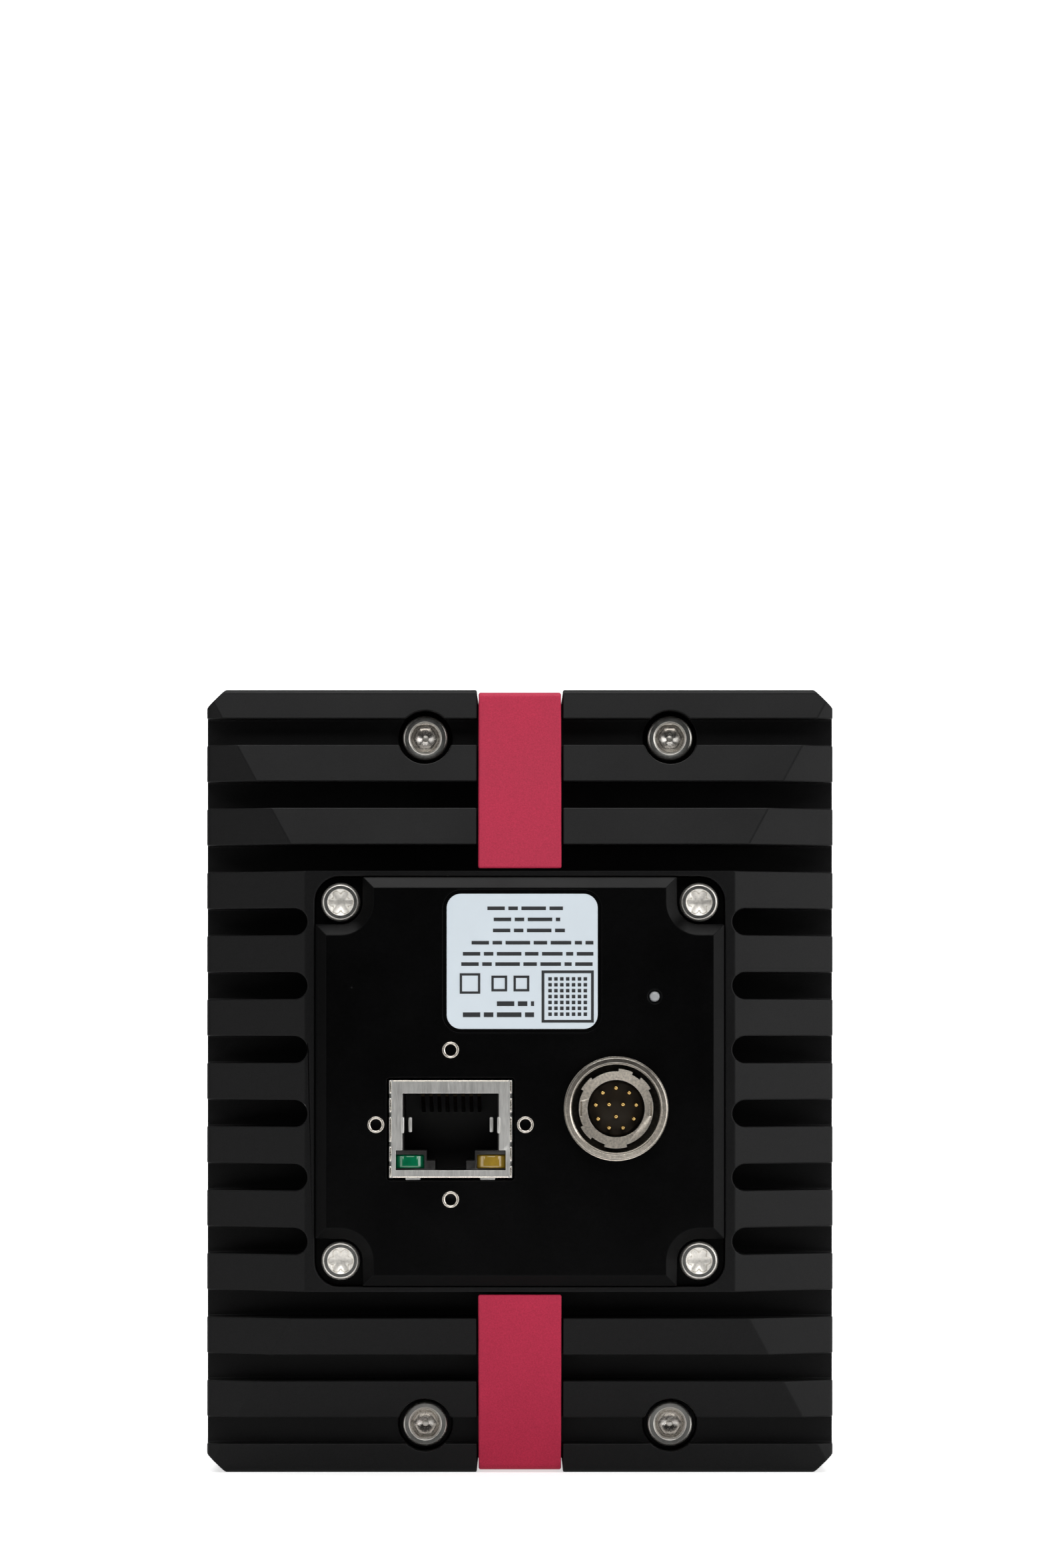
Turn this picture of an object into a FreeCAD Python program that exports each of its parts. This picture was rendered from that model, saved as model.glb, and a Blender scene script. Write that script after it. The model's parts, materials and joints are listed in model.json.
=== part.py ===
import FreeCAD, Part
import math
import os
import re
import Sketcher

# Cooled camera with a finned rear housing.  X is across, Z is up and +Y is the optical axis.
# The origin is the centre of the lens mount's front face, which stands on the plane Y = 0.

sizes = {
    # body
    "body_width": 80,
    "body_height": 100,
    "body_depth": 74,
    "rear_depth": 28,
    "corner_chamfer": 2.34,
    "cavity_corner": 4,
    "side_wall": 5,
    "end_wall": 12,
    # sloping rear end: a flat frame in the middle, four facets down to the rim
    "lip_side": 1.3,
    "lip_end": 0.8,
    "slope_drop": 7.5,
    "rim_round": 1.1,
    # cooling grooves
    "groove_width": 3.4,
    "groove_pitch": 8.1,
    "groove_depth": 9.5,
    "groove_end_gap": 0.3,
    "rim_fin": 2.4,
    # red strips
    "strip_width": 10.55,
    "strip_gap": 0.22,
    "strip_end_gap": 0.3,
    "strip_sink": 0.33,
    "strip_slope_depth": 2.0,
    "strip_flat_depth": 1.4,
    "strip_round": 1.2,
    # housing screws, M3 socket head
    "screw_left": -12.1,
    "screw_right": 19.2,
    "screw_edge": 6.15,
    "bolt_head": 2.85,
    "bolt_head_height": 3.0,
    "bolt_radius": 1.5,
    "bolt_hole": 1.6,
    "bolt_length": 25,
    "bolt_socket": 1.9,
    "bolt_socket_depth": 1.7,
    "bolt_mouth": 0.3,
    "counterbore": 3.45,
    "counterbore_seat": 11.5,
    # rear cover
    "cover_size": 51.8,
    "cover_gap": 0.1,
    "cover_corner": 3.2,
    "cover_seat": 4.0,
    "cover_rise": 1.4,
    "pocket_radius": 2.8,
    "ear_drop": 1.9,
    "ledge_width": 3.9,
    "opening_corner": 5,
    "gasket_sheet": 0.5,
    "torx_head": 2.45,
    "torx_head_height": 1.75,
    "torx_shaft": 1.25,
    "torx_hole": 1.4,
    "torx_length": 8,
    "torx_crown": 0.55,
    "torx_core": 1.2,
    "torx_lobe": 0.4,
    "torx_depth": 1,
    # network jack
    "jack_across": -8.75,
    "jack_up": -6.0,
    "jack_width": 15.6,
    "jack_height": 12.4,
    "jack_clearance": 0.3,
    "jack_sink": 0.3,
    "jack_sheet": 0.3,
    "jack_corner": 0.45,
    "shield_notch": 0.25,
    "shield_notch_height": 0.55,
    "shield_foot": 1.85,
    "shield_foot_sheet": 0.25,
    "plug_width": 12.2,
    "plug_height": 7.2,
    "plug_drop": 1.7,
    "plug_depth": 12.5,
    "plug_slack": 0.3,
    "latch_width": 6.1,
    "latch_height": 1.3,
    "latch_slot": 3.9,
    "lamp_row_width": 13.9,
    "lamp_row_height": 2.5,
    "lamp_width": 3.6,
    "lamp_height": 1.75,
    "lamp_gap": 0.2,
    "lamp_depth": 6,
    "contact_pitch": 1.02,
    "contact_width": 0.46,
    "contact_start": 4.4,
    "contact_length": 7.0,
    "contact_drop": 2.5,
    "contact_sheet": 0.4,
    "insert_up": -5.45,
    "insert_margin": 1.65,
    "insert_radius": 1.095,
    "insert_thread": 0.72,
    # round receptacle
    "round_across": 12.15,
    "round_up": -3.4,
    "round_lip": 0.6,
    "flange_height": 1.2,
    "round_wall": 0.4,
    "round_body": 6.0,
    "round_fit": 0.05,
    "key_gap": 0.9,
    "key_wall": 1.07,
    "key_lobe": 0.33,
    "key_slot": 1.9,
    "key_slot_width": 0.28,
    "key_slot_wall": 0.15,
    "key_slot_depth": 0.4,
    "round_edge": 0.25,
    "round_groove_depth": 4.0,
    "round_cup_depth": 4.6,
    "round_tail": 9.5,
    "nut_wall": 1.6,
    "round_nut_height": 2.0,
    "seal_height": 0.6,
    "pin_radius": 0.275,
    "pin_circle": 2.6,
    "pin_inner_circle": 1.02,
    "pin_reach": 3.6,
    "pin_point": 0.2,
    # status light and label
    "light_across": 17.05,
    "light_up": 10.75,
    "light_radius": 0.675,
    "light_fit": 0.05,
    "light_mouth": 0.95,
    "light_sink": 0.35,
    "label_across": 0.3,
    "label_up": 15.2,
    "label_width": 19.1,
    "label_height": 17.1,
    "label_corner": 1.8,
    "label_sheet": 0.15,
    "label_border": 0.5,
    "label_pocket": 0.3,
    # front plate and lens mount
    "mount_reach": 4,
    "front_plate_depth": 9,
    "ring_radius": 19,
    "ring_fit": 0.05,
    "ring_lip": 2,
    "ring_lift": 0.1,
    "ring_depth": 8.5,
    "ring_wall": 2.6,
    "mount_radius": 12.7,
    "mount_thread": 4.5,
    "plate_bore_depth": 5.5,
    "window_radius": 15.5,
    "window_fit": 0.2,
    "window_depth": 1.1,
    "window_clear": 13.2,
    "window_seal": 0.4,
    "clamp_depth": 0.5,
    "plate_screw_side": 9,
    "plate_screw_edge": 6,
    "plate_screw_sink": 3.3,
    "plate_screw_length": 14,
    "plate_thread": 10,
    "set_screw_inset": 2,
    "set_screw_radius": 1.25,
    "set_screw_length": 3.0,
    "set_screw_sink": 0.4,
    "set_screw_socket": 0.75,
    "set_screw_socket_depth": 1.3,
    "ring_edge": 0.4,
    # dust cap
    "cap_fit": 0.08,
    "cap_wall": 1.9,
    "cap_face": 2.2,
    "cap_gap": 0.3,
    "cap_skirt": 3.3,
    "cap_rib": 0.7,
    "cap_rib_out": 0.25,
    "cap_edge": 0.8,
    "cap_rim": 6,
    "cap_dish": 0.6,
    # sensor stack, forward from the back of the package
    "flange_focal": 17.526,
    "chip_depth": 0.5,
    "carrier_depth": 1.2,
    "cold_plate_depth": 0.8,
    "cooler_leg": 1.2,
    "hot_plate_depth": 0.8,
    "package_base": 2.0,
    "package_rise": 3.4,
    "package_width": 30,
    "package_height": 26,
    "package_wall": 2,
    "package_lid": 1.0,
    "window_glass": 0.7,
    "package_pin_row": 11.6,
    "package_pin_pitch": 1.9,
    "package_pin": 0.23,
    "chip_width": 14,
    "chip_height": 11.5,
    "carrier_width": 20,
    "carrier_height": 16,
    "cold_plate_width": 18,
    "cold_plate_height": 14,
    "hot_plate_width": 21,
    "hot_plate_height": 17,
    "leg_side": 1.2,
    "leg_pitch_across": 2.8,
    "leg_pitch_up": 3.2,
    "package_eye_width": 18,
    "package_eye_height": 15,
    "glass_width": 22,
    "glass_height": 19,
    "bulkhead_face": 34,
    "bulkhead_depth": 4,
    "spreader_plate": 4,
    "spreader_width": 50,
    "spreader_height": 36,
    "boss_width": 22,
    "boss_height": 18,
    "spreader_screw_inset": 4,
    "spreader_thread": 3.5,
    "spreader_head": 1.6,
    # boards
    "board_sheet": 1.6,
    "sensor_board_face": 25.5,
    "board_gap": 2,
    "board_corner": 2,
    "io_standoff": 2.5,
    "post_inset": 4,
    "board_spacer": 9,
    "post_radius": 2.6,
    "web_depth": 4,
    "ribbon_inset": 6,
    "ribbon_width": 16,
    "ribbon_sheet": 0.3,
    "ribbon_slot_margin": 1.5,
    "ribbon_slot_height": 6,
    "flex_plug_height": 4.5,
    "flex_plug_depth": 2,
    # parts on the boards
    "board_head": 1.7,
    "processor_side": 23,
    "processor_depth": 2.2,
    "processor_across": -6,
    "processor_up": -8,
    "pad_side": 22,
    "pad_depth": 0.8,
    "bridge_side": 26,
    "memory_across": 20,
    "memory_up": -6,
    "memory_pitch": 17,
    "memory_width": 9,
    "memory_height": 13,
    "memory_depth": 1.1,
    "link_width": 40,
    "link_height": 5,
    "link_up": -27,
    "transformer_width": 16,
    "transformer_height": 13,
    "transformer_depth": 5.5,
    "inductor_side": 11,
    "inductor_depth": 4.5,
    "inductor_across": 19,
    "inductor_up": 12,
    "lamp_chip": 1.6,
    "lamp_chip_depth": 0.8,
    # seals and base threads
    "seal_inset": 2.2,
    "seal_width": 1.4,
    "seal_depth": 1.0,
    "seal_corner": 3,
    "base_hole": 1.65,
    "base_hole_depth": 7,
    "base_across": 22,
    "base_front": 20,
    "base_rear": 42,
}

doc = FreeCAD.newDocument("CooledCamera")
sheet = doc.addObject("Spreadsheet::Sheet", "Sizes")
for row, (alias, value) in enumerate(sizes.items(), 1):
    sheet.set(f"A{row}", alias)
    sheet.set(f"B{row}", str(value))
    sheet.setAlias(f"B{row}", alias)
doc.recompute()


def linked(text):
    """Puts the sheet's name before every alias in a formula."""
    return re.sub(r"[a-z_]+", lambda word: "Sizes." + word[0] if word[0] in sizes else word[0], str(text))


def bind(item, target, text):
    item.setExpression(target, linked(text))


def number(text):
    """The value of a formula, for counts and for a sketch's first guess."""
    return float(sheet.evalExpression(linked(text)))


def block(name, across, along, upward):
    item = doc.addObject("Part::Box", name)
    for side, axis, (low, high) in zip(("Length", "Width", "Height"), "xyz", (across, along, upward)):
        bind(item, side, f"({high}) - ({low})")
        bind(item, f"Placement.Base.{axis}", low)
    return item


def centred(name, width, height, along, across=0, upward=0):
    return block(name, (f"{across} - ({width}) / 2", f"{across} + ({width}) / 2"), along,
                 (f"{upward} - ({height}) / 2", f"{upward} + ({height}) / 2"))


def rod(name, radius, along, across=0, upward=0):
    """A round bar along Y."""
    item = doc.addObject("Part::Cylinder", name)
    item.Placement = FreeCAD.Placement(FreeCAD.Vector(), FreeCAD.Rotation(FreeCAD.Vector(1, 0, 0), -90))
    bind(item, "Radius", radius)
    bind(item, "Height", f"({along[1]}) - ({along[0]})")
    for axis, place in zip("xyz", (across, along[0], upward)):
        bind(item, f"Placement.Base.{axis}", place)
    return item


def sector(name, radius, along, span, place):
    """A slice of a round bar along Y between two angles, counted from +X towards +Z."""
    item = rod(name, radius, along, *place)
    start, end = span
    item.Angle = end - start
    turn = FreeCAD.Rotation(FreeCAD.Vector(0, 1, 0), -end)
    item.Placement = FreeCAD.Placement(FreeCAD.Vector(), turn.multiply(item.Placement.Rotation))
    return item


def bar(name, radius, upward, across, along):
    """A round bar along Z."""
    item = doc.addObject("Part::Cylinder", name)
    bind(item, "Radius", radius)
    bind(item, "Height", f"({upward[1]}) - ({upward[0]})")
    for axis, place in zip("xyz", (across, along, upward[0])):
        bind(item, f"Placement.Base.{axis}", place)
    return item


def cone(name, near, far, along, across=0, upward=0):
    item = doc.addObject("Part::Cone", name)
    item.Placement = FreeCAD.Placement(FreeCAD.Vector(), FreeCAD.Rotation(FreeCAD.Vector(1, 0, 0), -90))
    bind(item, "Radius1", near)
    bind(item, "Radius2", far)
    bind(item, "Height", f"({along[1]}) - ({along[0]})")
    for axis, place in zip("xyz", (across, along[0], upward)):
        bind(item, f"Placement.Base.{axis}", place)
    return item


def hexagon(name, radius, along, across=0, upward=0):
    item = doc.addObject("Part::Prism", name)
    item.Polygon = 6
    item.Placement = FreeCAD.Placement(FreeCAD.Vector(), FreeCAD.Rotation(FreeCAD.Vector(1, 0, 0), -90))
    bind(item, "Circumradius", radius)
    bind(item, "Height", f"({along[1]}) - ({along[0]})")
    for axis, place in zip("xyz", (across, along[0], upward)):
        bind(item, f"Placement.Base.{axis}", place)
    return item


def fuse(name, items):
    if len(items) == 1:
        return items[0]
    item = doc.addObject("Part::MultiFuse", name)
    item.Shapes = items
    return item


def cut(name, base, items):
    item = doc.addObject("Part::Cut", name)
    item.Base = base
    item.Tool = fuse(name + "_cuts", items)
    return item


def group(name, items):
    item = doc.addObject("Part::Compound", name)
    item.Links = items
    return item


def outline(body, name, points, plane, offset):
    """A closed sketch of straight lines, every corner placed by its own two formulas."""
    sketch = body.newObject("Sketcher::SketchObject", name)
    base = [feature for feature in body.Origin.OriginFeatures if feature.Role == plane][0]
    sketch.AttachmentSupport = [(base, "")]
    sketch.MapMode = "FlatFace"
    bind(sketch, "AttachmentOffset.Base.z", offset)
    spots = [(number(first), number(second)) for first, second in points]
    for here, there in zip(spots, spots[1:] + spots[:1]):
        sketch.addGeometry(Part.LineSegment(FreeCAD.Vector(*here, 0), FreeCAD.Vector(*there, 0)), False)
    for index, (point, spot) in enumerate(zip(points, spots)):
        sketch.addConstraint(Sketcher.Constraint("Coincident", index, 2, (index + 1) % len(points), 1))
        for kind, place, text in zip(("DistanceX", "DistanceY"), spot, point):
            row = sketch.addConstraint(Sketcher.Constraint(kind, -1, 1, index, 1, place))
            bind(sketch, f"Constraints[{row}]", text)
    return sketch


def padded(name, points, span, plane="XZ_Plane"):
    """A body padded from an outline, between the two ends of a span along the plane's normal."""
    body = doc.addObject("PartDesign::Body", name)
    offset = f"-({span[1]})" if plane == "XZ_Plane" else span[0]
    sketch = outline(body, name + "_sketch", points, plane, offset)
    feature = body.newObject("PartDesign::Pad", name + "_pad")
    feature.Profile = sketch
    bind(feature, "Length", f"({span[1]}) - ({span[0]})")
    doc.recompute()
    return body


def dress(body, kind, size, wanted):
    """A fillet or chamfer on the edges that wanted() picks by their middle and direction."""
    tip = body.Tip
    names = []
    for index, edge in enumerate(tip.Shape.Edges, 1):
        middle = edge.valueAt((edge.FirstParameter + edge.LastParameter) / 2)
        way = edge.tangentAt((edge.FirstParameter + edge.LastParameter) / 2)
        if wanted(middle, way):
            names.append(f"Edge{index}")
    feature = body.newObject("PartDesign::" + kind, f"{body.Name}_{kind}_{len(body.Group)}")
    feature.Base = (tip, names)
    bind(feature, "Radius" if kind == "Fillet" else "Size", size)
    body.Tip = feature
    doc.recompute()
    return body


def along_depth(middle, way):
    return abs(way.y) > 0.99


def rounded(name, width, height, corner, along, across=0, upward=0):
    """A plate in the XZ plane with round corners."""
    left, right = f"{across} - ({width}) / 2", f"{across} + ({width}) / 2"
    low, high = f"{upward} - ({height}) / 2", f"{upward} + ({height}) / 2"
    body = padded(name, [(left, low), (right, low), (right, high), (left, high)], along)
    return dress(body, "Fillet", corner, along_depth)


def turned(name, profile, across=0, upward=0):
    """A body turned about a line along Y; the profile is (radius, y) corners."""
    body = doc.addObject("PartDesign::Body", name)
    sketch = outline(body, name + "_sketch", profile, "XY_Plane", 0)
    feature = body.newObject("PartDesign::Revolution", name + "_turn")
    feature.Profile = sketch
    feature.ReferenceAxis = (sketch, ["V_Axis"])
    feature.Angle = 360
    bind(body, "Placement.Base.x", across)
    bind(body, "Placement.Base.z", upward)
    return body


def octagon(name, along):
    """The body's outline: a rectangle with cut corners."""
    half_x, half_z = "body_width / 2", "body_height / 2"
    points = [(f"{half_x} - corner_chamfer", half_z), (half_x, f"{half_z} - corner_chamfer")]
    points += [(first, f"-({second})") for first, second in reversed(points)]
    points += [(f"-({first})", second) for first, second in reversed(points)]
    return padded(name, points, along)


# levels along Y
frame = "-(mount_reach + body_depth)"
rim = f"{frame} + slope_drop"
joint = f"{frame} + rear_depth"
cover_face = f"{frame} - cover_rise"
cover_back = f"{frame} + cover_seat"
ear_face = f"{frame} + ear_drop"
ledge = f"{cover_back} + gasket_sheet"
groove_floor = f"{frame} + groove_depth"
web_face = f"{groove_floor} + web_depth"
bolt_seat = f"({frame} + counterbore_seat)"
plate_face = "-mount_reach"
plate_back = f"{plate_face} - front_plate_depth"
plate_seat = f"({plate_face} - plate_screw_sink)"
bulkhead_front = "-bulkhead_face"
bulkhead_back = f"{bulkhead_front} - bulkhead_depth"
spreader_face = f"{bulkhead_front} + spreader_plate"
sensor_board_front = "-sensor_board_face"
sensor_board_back = f"{sensor_board_front} - board_sheet"
io_back = f"{web_face} + io_standoff"
io_front = f"{io_back} + board_sheet"
processing_back = f"{io_front} + board_spacer"
processing_front = f"{processing_back} + board_sheet"
jack_face = f"{cover_face} + jack_sink"
jack_inner = f"{jack_face} + jack_sheet"

# widths and heights that follow from the sizes
half_width, half_height = "body_width / 2", "body_height / 2"
cavity_width = "body_width - 2 * side_wall"
cavity_height = "body_height - 2 * end_wall"
frame_width, frame_height = "(cover_size + 2 * lip_side)", "(cover_size + 2 * lip_end)"
cover_screw = "(cover_size / 2 - cover_corner)"
cover_opening = "cover_size - 2 * ledge_width"
cover_plate = ("cover_size", "cover_size", "cover_corner - cover_gap")
plug_top = "(jack_up + jack_height / 2 - plug_drop)"
plug_bottom = f"({plug_top} - plug_height)"
lamp_bottom = f"({plug_bottom} - lamp_row_height)"
round_flange, round_mouth = "(round_body + round_lip)", "(round_body - round_wall)"
key_shell = f"({round_mouth} - key_gap)"
key_bore = f"({key_shell} - key_wall)"
ring_flange = "(ring_radius + ring_lip)"
board_width, board_height = f"({cavity_width} - 2 * board_gap)", f"({cavity_height} - 2 * board_gap)"
board_plate = (board_width, board_height, "board_corner")
ribbon_up = f"({board_height} / 2 - ribbon_inset)"


def corners(across, upward):
    """The four places of a rectangle about the optical axis."""
    return [(f"{left}({across})", f"{low}({upward})") for left in ("", "-") for low in ("", "-")]


def past(low, high):
    """A cutting tool's span: one millimetre past both of its ends."""
    return f"{low} - 1", f"{high} + 1"


bolt_places = [(across, f"{sign}({half_height} - screw_edge)") for across in ("screw_left", "screw_right")
               for sign in ("", "-")]
cover_places = corners(cover_screw, cover_screw)
post_places = corners(f"{board_width} / 2 - post_inset", f"{board_height} / 2 - post_inset")
plate_places = corners(f"{half_width} - plate_screw_side", f"{half_height} - plate_screw_edge")
spreader_places = corners("spreader_width / 2 - spreader_screw_inset",
                          "spreader_height / 2 - spreader_screw_inset")
insert_places = [(f"jack_across + (jack_width / 2 + insert_margin) * {x}",
                  f"insert_up + (jack_width / 2 + insert_margin) * {z}")
                 for x, z in ((1, 0), (0, 1), (-1, 0), (0, -1))]
jack_place = ("jack_across", "jack_up")
round_place = ("round_across", "round_up")
light_place = ("light_across", "light_up")


def rods(name, radius, along, places):
    """The same round bar at several places."""
    return [rod(f"{name}_{index}", radius, along, *place) for index, place in enumerate(places)]


def on_circle(radius, degrees, across=0, upward=0):
    turn = math.radians(degrees)
    return f"{across} + {radius} * {math.cos(turn):.5f}", f"{upward} + {radius} * {math.sin(turn):.5f}"


def slope_at(upward):
    """Y of the sloping end facets at a height."""
    rise = f"(({upward}) - {frame_height} / 2) / ({half_height} - {frame_height} / 2)"
    return f"({frame} + slope_drop * {rise})"


def seal_ring(name, along):
    """Rectangular seal that lies between the cavity and the screws."""
    plates = [rounded(f"{name}_{part}", f"{cavity_width} + 2 * {reach}", f"{cavity_height} + 2 * {reach}",
                      "seal_corner", along)
              for part, reach in (("hole", "seal_inset"), ("edge", "(seal_inset + seal_width / 2)"))]
    return cut(name, plates[1], [plates[0]])


def cooling_grooves():
    """Blind grooves beside the frame, and grooves right across beyond it."""
    tools = []
    row = 0
    depth = past(frame, groove_floor)[0], groove_floor
    outside = f"({half_width} + 1)"
    start = f"({frame_width} / 2 - groove_end_gap + groove_width / 2)"
    while number(f"(0.5 + {row}) * groove_pitch + groove_width / 2 + rim_fin - {half_height}") < 0:
        for side, sign in enumerate(("", "-")):
            upward = f"{sign}((0.5 + {row}) * groove_pitch)"
            span = (f"{upward} - groove_width / 2", f"{upward} + groove_width / 2")
            name = f"groove_{row}_{side}"
            if number(f"(0.5 + {row}) * groove_pitch - {frame_height} / 2") < 0:
                tools += [block(name + "_right", (start, outside), depth, span),
                          block(name + "_left", (f"-{outside}", f"-{start}"), depth, span),
                          rod(name + "_right_end", "groove_width / 2", depth, start, upward),
                          rod(name + "_left_end", "groove_width / 2", depth, f"-{start}", upward)]
            else:
                tools.append(block(name, (f"-{outside}", outside), depth, span))
        row += 1
    return tools


def strip_outline(sign, lift, end_gap):
    """Side view of a red strip as (y, z): down the slope, round the rim and forward."""
    near = f"({frame_height} / 2 + {end_gap})"
    far = f"({half_height} - strip_sink)"
    slope_near, slope_far = slope_at(near), slope_at(far)
    return [(f"{slope_near} - {lift}", f"{sign}{near}"),
            (f"{slope_far} - {lift}", f"{sign}({far} + {lift})"),
            (plate_back, f"{sign}({far} + {lift})"),
            (plate_back, f"{sign}({far} - strip_flat_depth)"),
            (f"{slope_far} + strip_slope_depth", f"{sign}({far} - strip_flat_depth)"),
            (f"{slope_near} + strip_slope_depth", f"{sign}{near}")]


def red_strip(name, sign):
    span = ("-strip_width / 2", "strip_width / 2")
    body = padded(name, strip_outline(sign, 0, "strip_end_gap"), span, "YZ_Plane")
    top = number(f"{half_height} - strip_sink")
    back = number(slope_at(f"({half_height} - strip_sink)"))

    def outer_corner(middle, way):
        return abs(way.x) > 0.99 and abs(abs(middle.z) - top) < 0.01 and abs(middle.y - back) < 0.01
    return dress(body, "Fillet", "strip_round", outer_corner)


def strip_channels(name):
    span = ("-(strip_width / 2 + strip_gap)", "strip_width / 2 + strip_gap")
    return [padded(f"{name}_{side}", strip_outline(sign, 2, 0), span, "YZ_Plane")
            for side, sign in (("top", ""), ("bottom", "-"))]


def socket_bolt(name, seat, place, length, forward=False):
    """Socket head cap screw; its head is behind the seat, or in front of it when it faces forward."""
    if forward:
        spans = [(f"{seat} - {length}", seat), (seat, f"{seat} + bolt_head_height")]
        drive = (f"{seat} + bolt_head_height - bolt_socket_depth", f"{seat} + bolt_head_height + 1")
    else:
        spans = [(seat, f"{seat} + {length}"), (f"{seat} - bolt_head_height", seat)]
        drive = (f"{seat} - bolt_head_height - 1", f"{seat} - bolt_head_height + bolt_socket_depth")
    blank = fuse(name + "_blank", [rod(name + "_shaft", "bolt_radius", spans[0], *place),
                                   rod(name + "_head", "bolt_head", spans[1], *place)])
    tools = [hexagon(name + "_hex", "bolt_socket", drive, *place)]
    if not forward:
        wide, narrow = "bolt_socket + bolt_mouth", "bolt_socket - bolt_mouth"
        mouth = (f"{seat} - bolt_head_height - 0.1", f"{seat} - bolt_head_height + 0.5")
        tools.append(cone(name + "_mouth", wide, narrow, mouth, *place))
    return cut(name, blank, tools)


def torx_screw(name, seat, place, length):
    """Pan head screw with a six-lobed drive."""
    top = f"{seat} - torx_head_height"
    crown = f"{top} + torx_crown"
    blank = fuse(name + "_blank", [
        rod(name + "_head", "torx_head", (crown, seat), *place),
        cone(name + "_crown", "torx_head - torx_crown", "torx_head", (top, crown), *place),
        rod(name + "_shaft", "torx_shaft", (seat, f"{seat} + {length}"), *place)])
    depth = (f"{top} - 1", f"{top} + torx_depth")
    lobes = [on_circle("torx_core", 60 * lobe, *place) for lobe in range(6)]
    return cut(name, blank, [rod(name + "_core", "torx_core", depth, *place)]
               + rods(name + "_lobe", "torx_lobe", depth, lobes))


def plain_screws(name, tip, seat, head, places):
    """Screws inside the body: each a shaft and a flat head in front of its seat."""
    return [fuse(f"{name}_{index}", [
        rod(f"{name}_shaft_{index}", "torx_shaft", (tip, seat), *place),
        rod(f"{name}_head_{index}", "torx_head", (seat, f"{seat} + {head}"), *place)])
        for index, place in enumerate(places)]


def tubes(name, outside, inside, along, places):
    return [cut(f"{name}_{index}", rod(f"{name}_bar_{index}", outside, along, *place),
                [rod(f"{name}_bore_{index}", inside, along, *place)])
            for index, place in enumerate(places)]


def make_rear_housing():
    wedge = doc.addObject("Part::Wedge", "slopes")
    for side, text in (("Xmin", f"-{frame_width} / 2"), ("Xmax", f"{frame_width} / 2"),
                       ("Zmin", f"-{frame_height} / 2"), ("Zmax", f"{frame_height} / 2"),
                       ("X2min", f"-{half_width}"), ("X2max", half_width),
                       ("Z2min", f"-{half_height}"), ("Z2max", half_height),
                       ("Ymin", frame), ("Ymax", rim)):
        bind(wedge, side, text)
    sides = centred("rear_sides", "body_width", "body_height", (rim, joint))
    raw = doc.addObject("Part::Common", "rear_block")
    raw.Base = fuse("rear_raw", [wedge, sides])
    raw.Tool = octagon("rear_outline", (f"{frame} - 1", joint))
    doc.recompute()
    level, round_radius = number(rim), number("rim_round")
    soft = doc.addObject("Part::Fillet", "rear_soft")
    soft.Base = raw
    soft.Edges = [(index, round_radius, round_radius) for index, edge in enumerate(raw.Shape.Edges, 1)
                  if edge.Length > 10 and all(abs(vertex.Point.y - level) < 1e-4 for vertex in edge.Vertexes)]
    doc.recompute()
    recess = "cover_size + 2 * cover_gap"
    tools = cooling_grooves() + strip_channels("rear_channel")
    tools += [rounded("cover_recess", recess, recess, "cover_corner", (f"{frame} - 1", ledge)),
              rounded("cover_window", cover_opening, cover_opening, "opening_corner", past(ledge, web_face)),
              rounded("rear_cavity", cavity_width, cavity_height, "cavity_corner",
                      (web_face, f"{joint} + 1"))]
    tools += rods("bolt_bore", "counterbore", (f"{frame} - 1", bolt_seat), bolt_places)
    tools += rods("bolt_pass", "bolt_hole", (bolt_seat, f"{joint} + 1"), bolt_places)
    tools += rods("cover_thread", "torx_shaft", (ledge, f"{ledge} + torx_length"), cover_places)
    return cut("rear_housing", soft, tools)


def make_rear_cover():
    half = "(cover_size / 2)"
    notch = f"({cover_screw} - pocket_radius)"
    quarter = [(notch, half), (notch, notch), (half, notch)]
    points = quarter + [(first, f"-{second}") for first, second in reversed(quarter)]
    points += [(f"-{first}", second) for first, second in reversed(points)]
    raised = padded("cover_raised", points, (cover_face, ear_face))
    notch_at, level = number(notch), number(cover_face)

    def pocket_corner(middle, way):
        at_notch = abs(abs(middle.x) - notch_at) < 0.01 and abs(abs(middle.z) - notch_at) < 0.01
        return at_notch and along_depth(middle, way)
    dress(raised, "Fillet", "pocket_radius", pocket_corner)
    dress(raised, "Chamfer", "cover_rise", lambda middle, way: abs(middle.y - level) < 0.001)
    blank = fuse("cover_blank", [raised, rounded("cover_base", *cover_plate, (ear_face, cover_back))])
    through = past(cover_face, cover_back)
    clearance, border = "2 * jack_clearance", "2 * label_border"
    tools = [rounded("jack_window", f"jack_width + {clearance}", f"jack_height + {clearance}", "jack_corner",
                     through, *jack_place),
             rod("round_hole", "round_body + round_fit", through, *round_place),
             rod("light_hole", "light_radius + light_fit", through, *light_place),
             cone("light_sink_cone", "light_mouth", "light_radius",
                  (cover_face, f"{cover_face} + light_sink"), *light_place),
             rounded("label_bed", f"label_width + {border}", f"label_height + {border}",
                     "label_corner + label_border", (f"{cover_face} - 1", f"{cover_face} + label_pocket"),
                     "label_across", "label_up")]
    tools += rods("insert_hole", "insert_radius", through, insert_places)
    tools += rods("torx_pass", "torx_hole", through, cover_places)
    return cut("rear_cover", blank, tools)


def make_cover_gasket():
    through = past(cover_back, ledge)
    window = rounded("gasket_window", cover_opening, cover_opening, "opening_corner", through)
    return cut("cover_gasket", rounded("gasket_blank", *cover_plate, (cover_back, ledge)),
               [window] + rods("gasket_hole", "torx_hole", through, cover_places))


def jack_slot(name, width, low, high, along):
    """A room centred on the network jack's width."""
    return block(name, (f"jack_across - ({width}) / 2", f"jack_across + ({width}) / 2"), along, (low, high))


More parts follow.
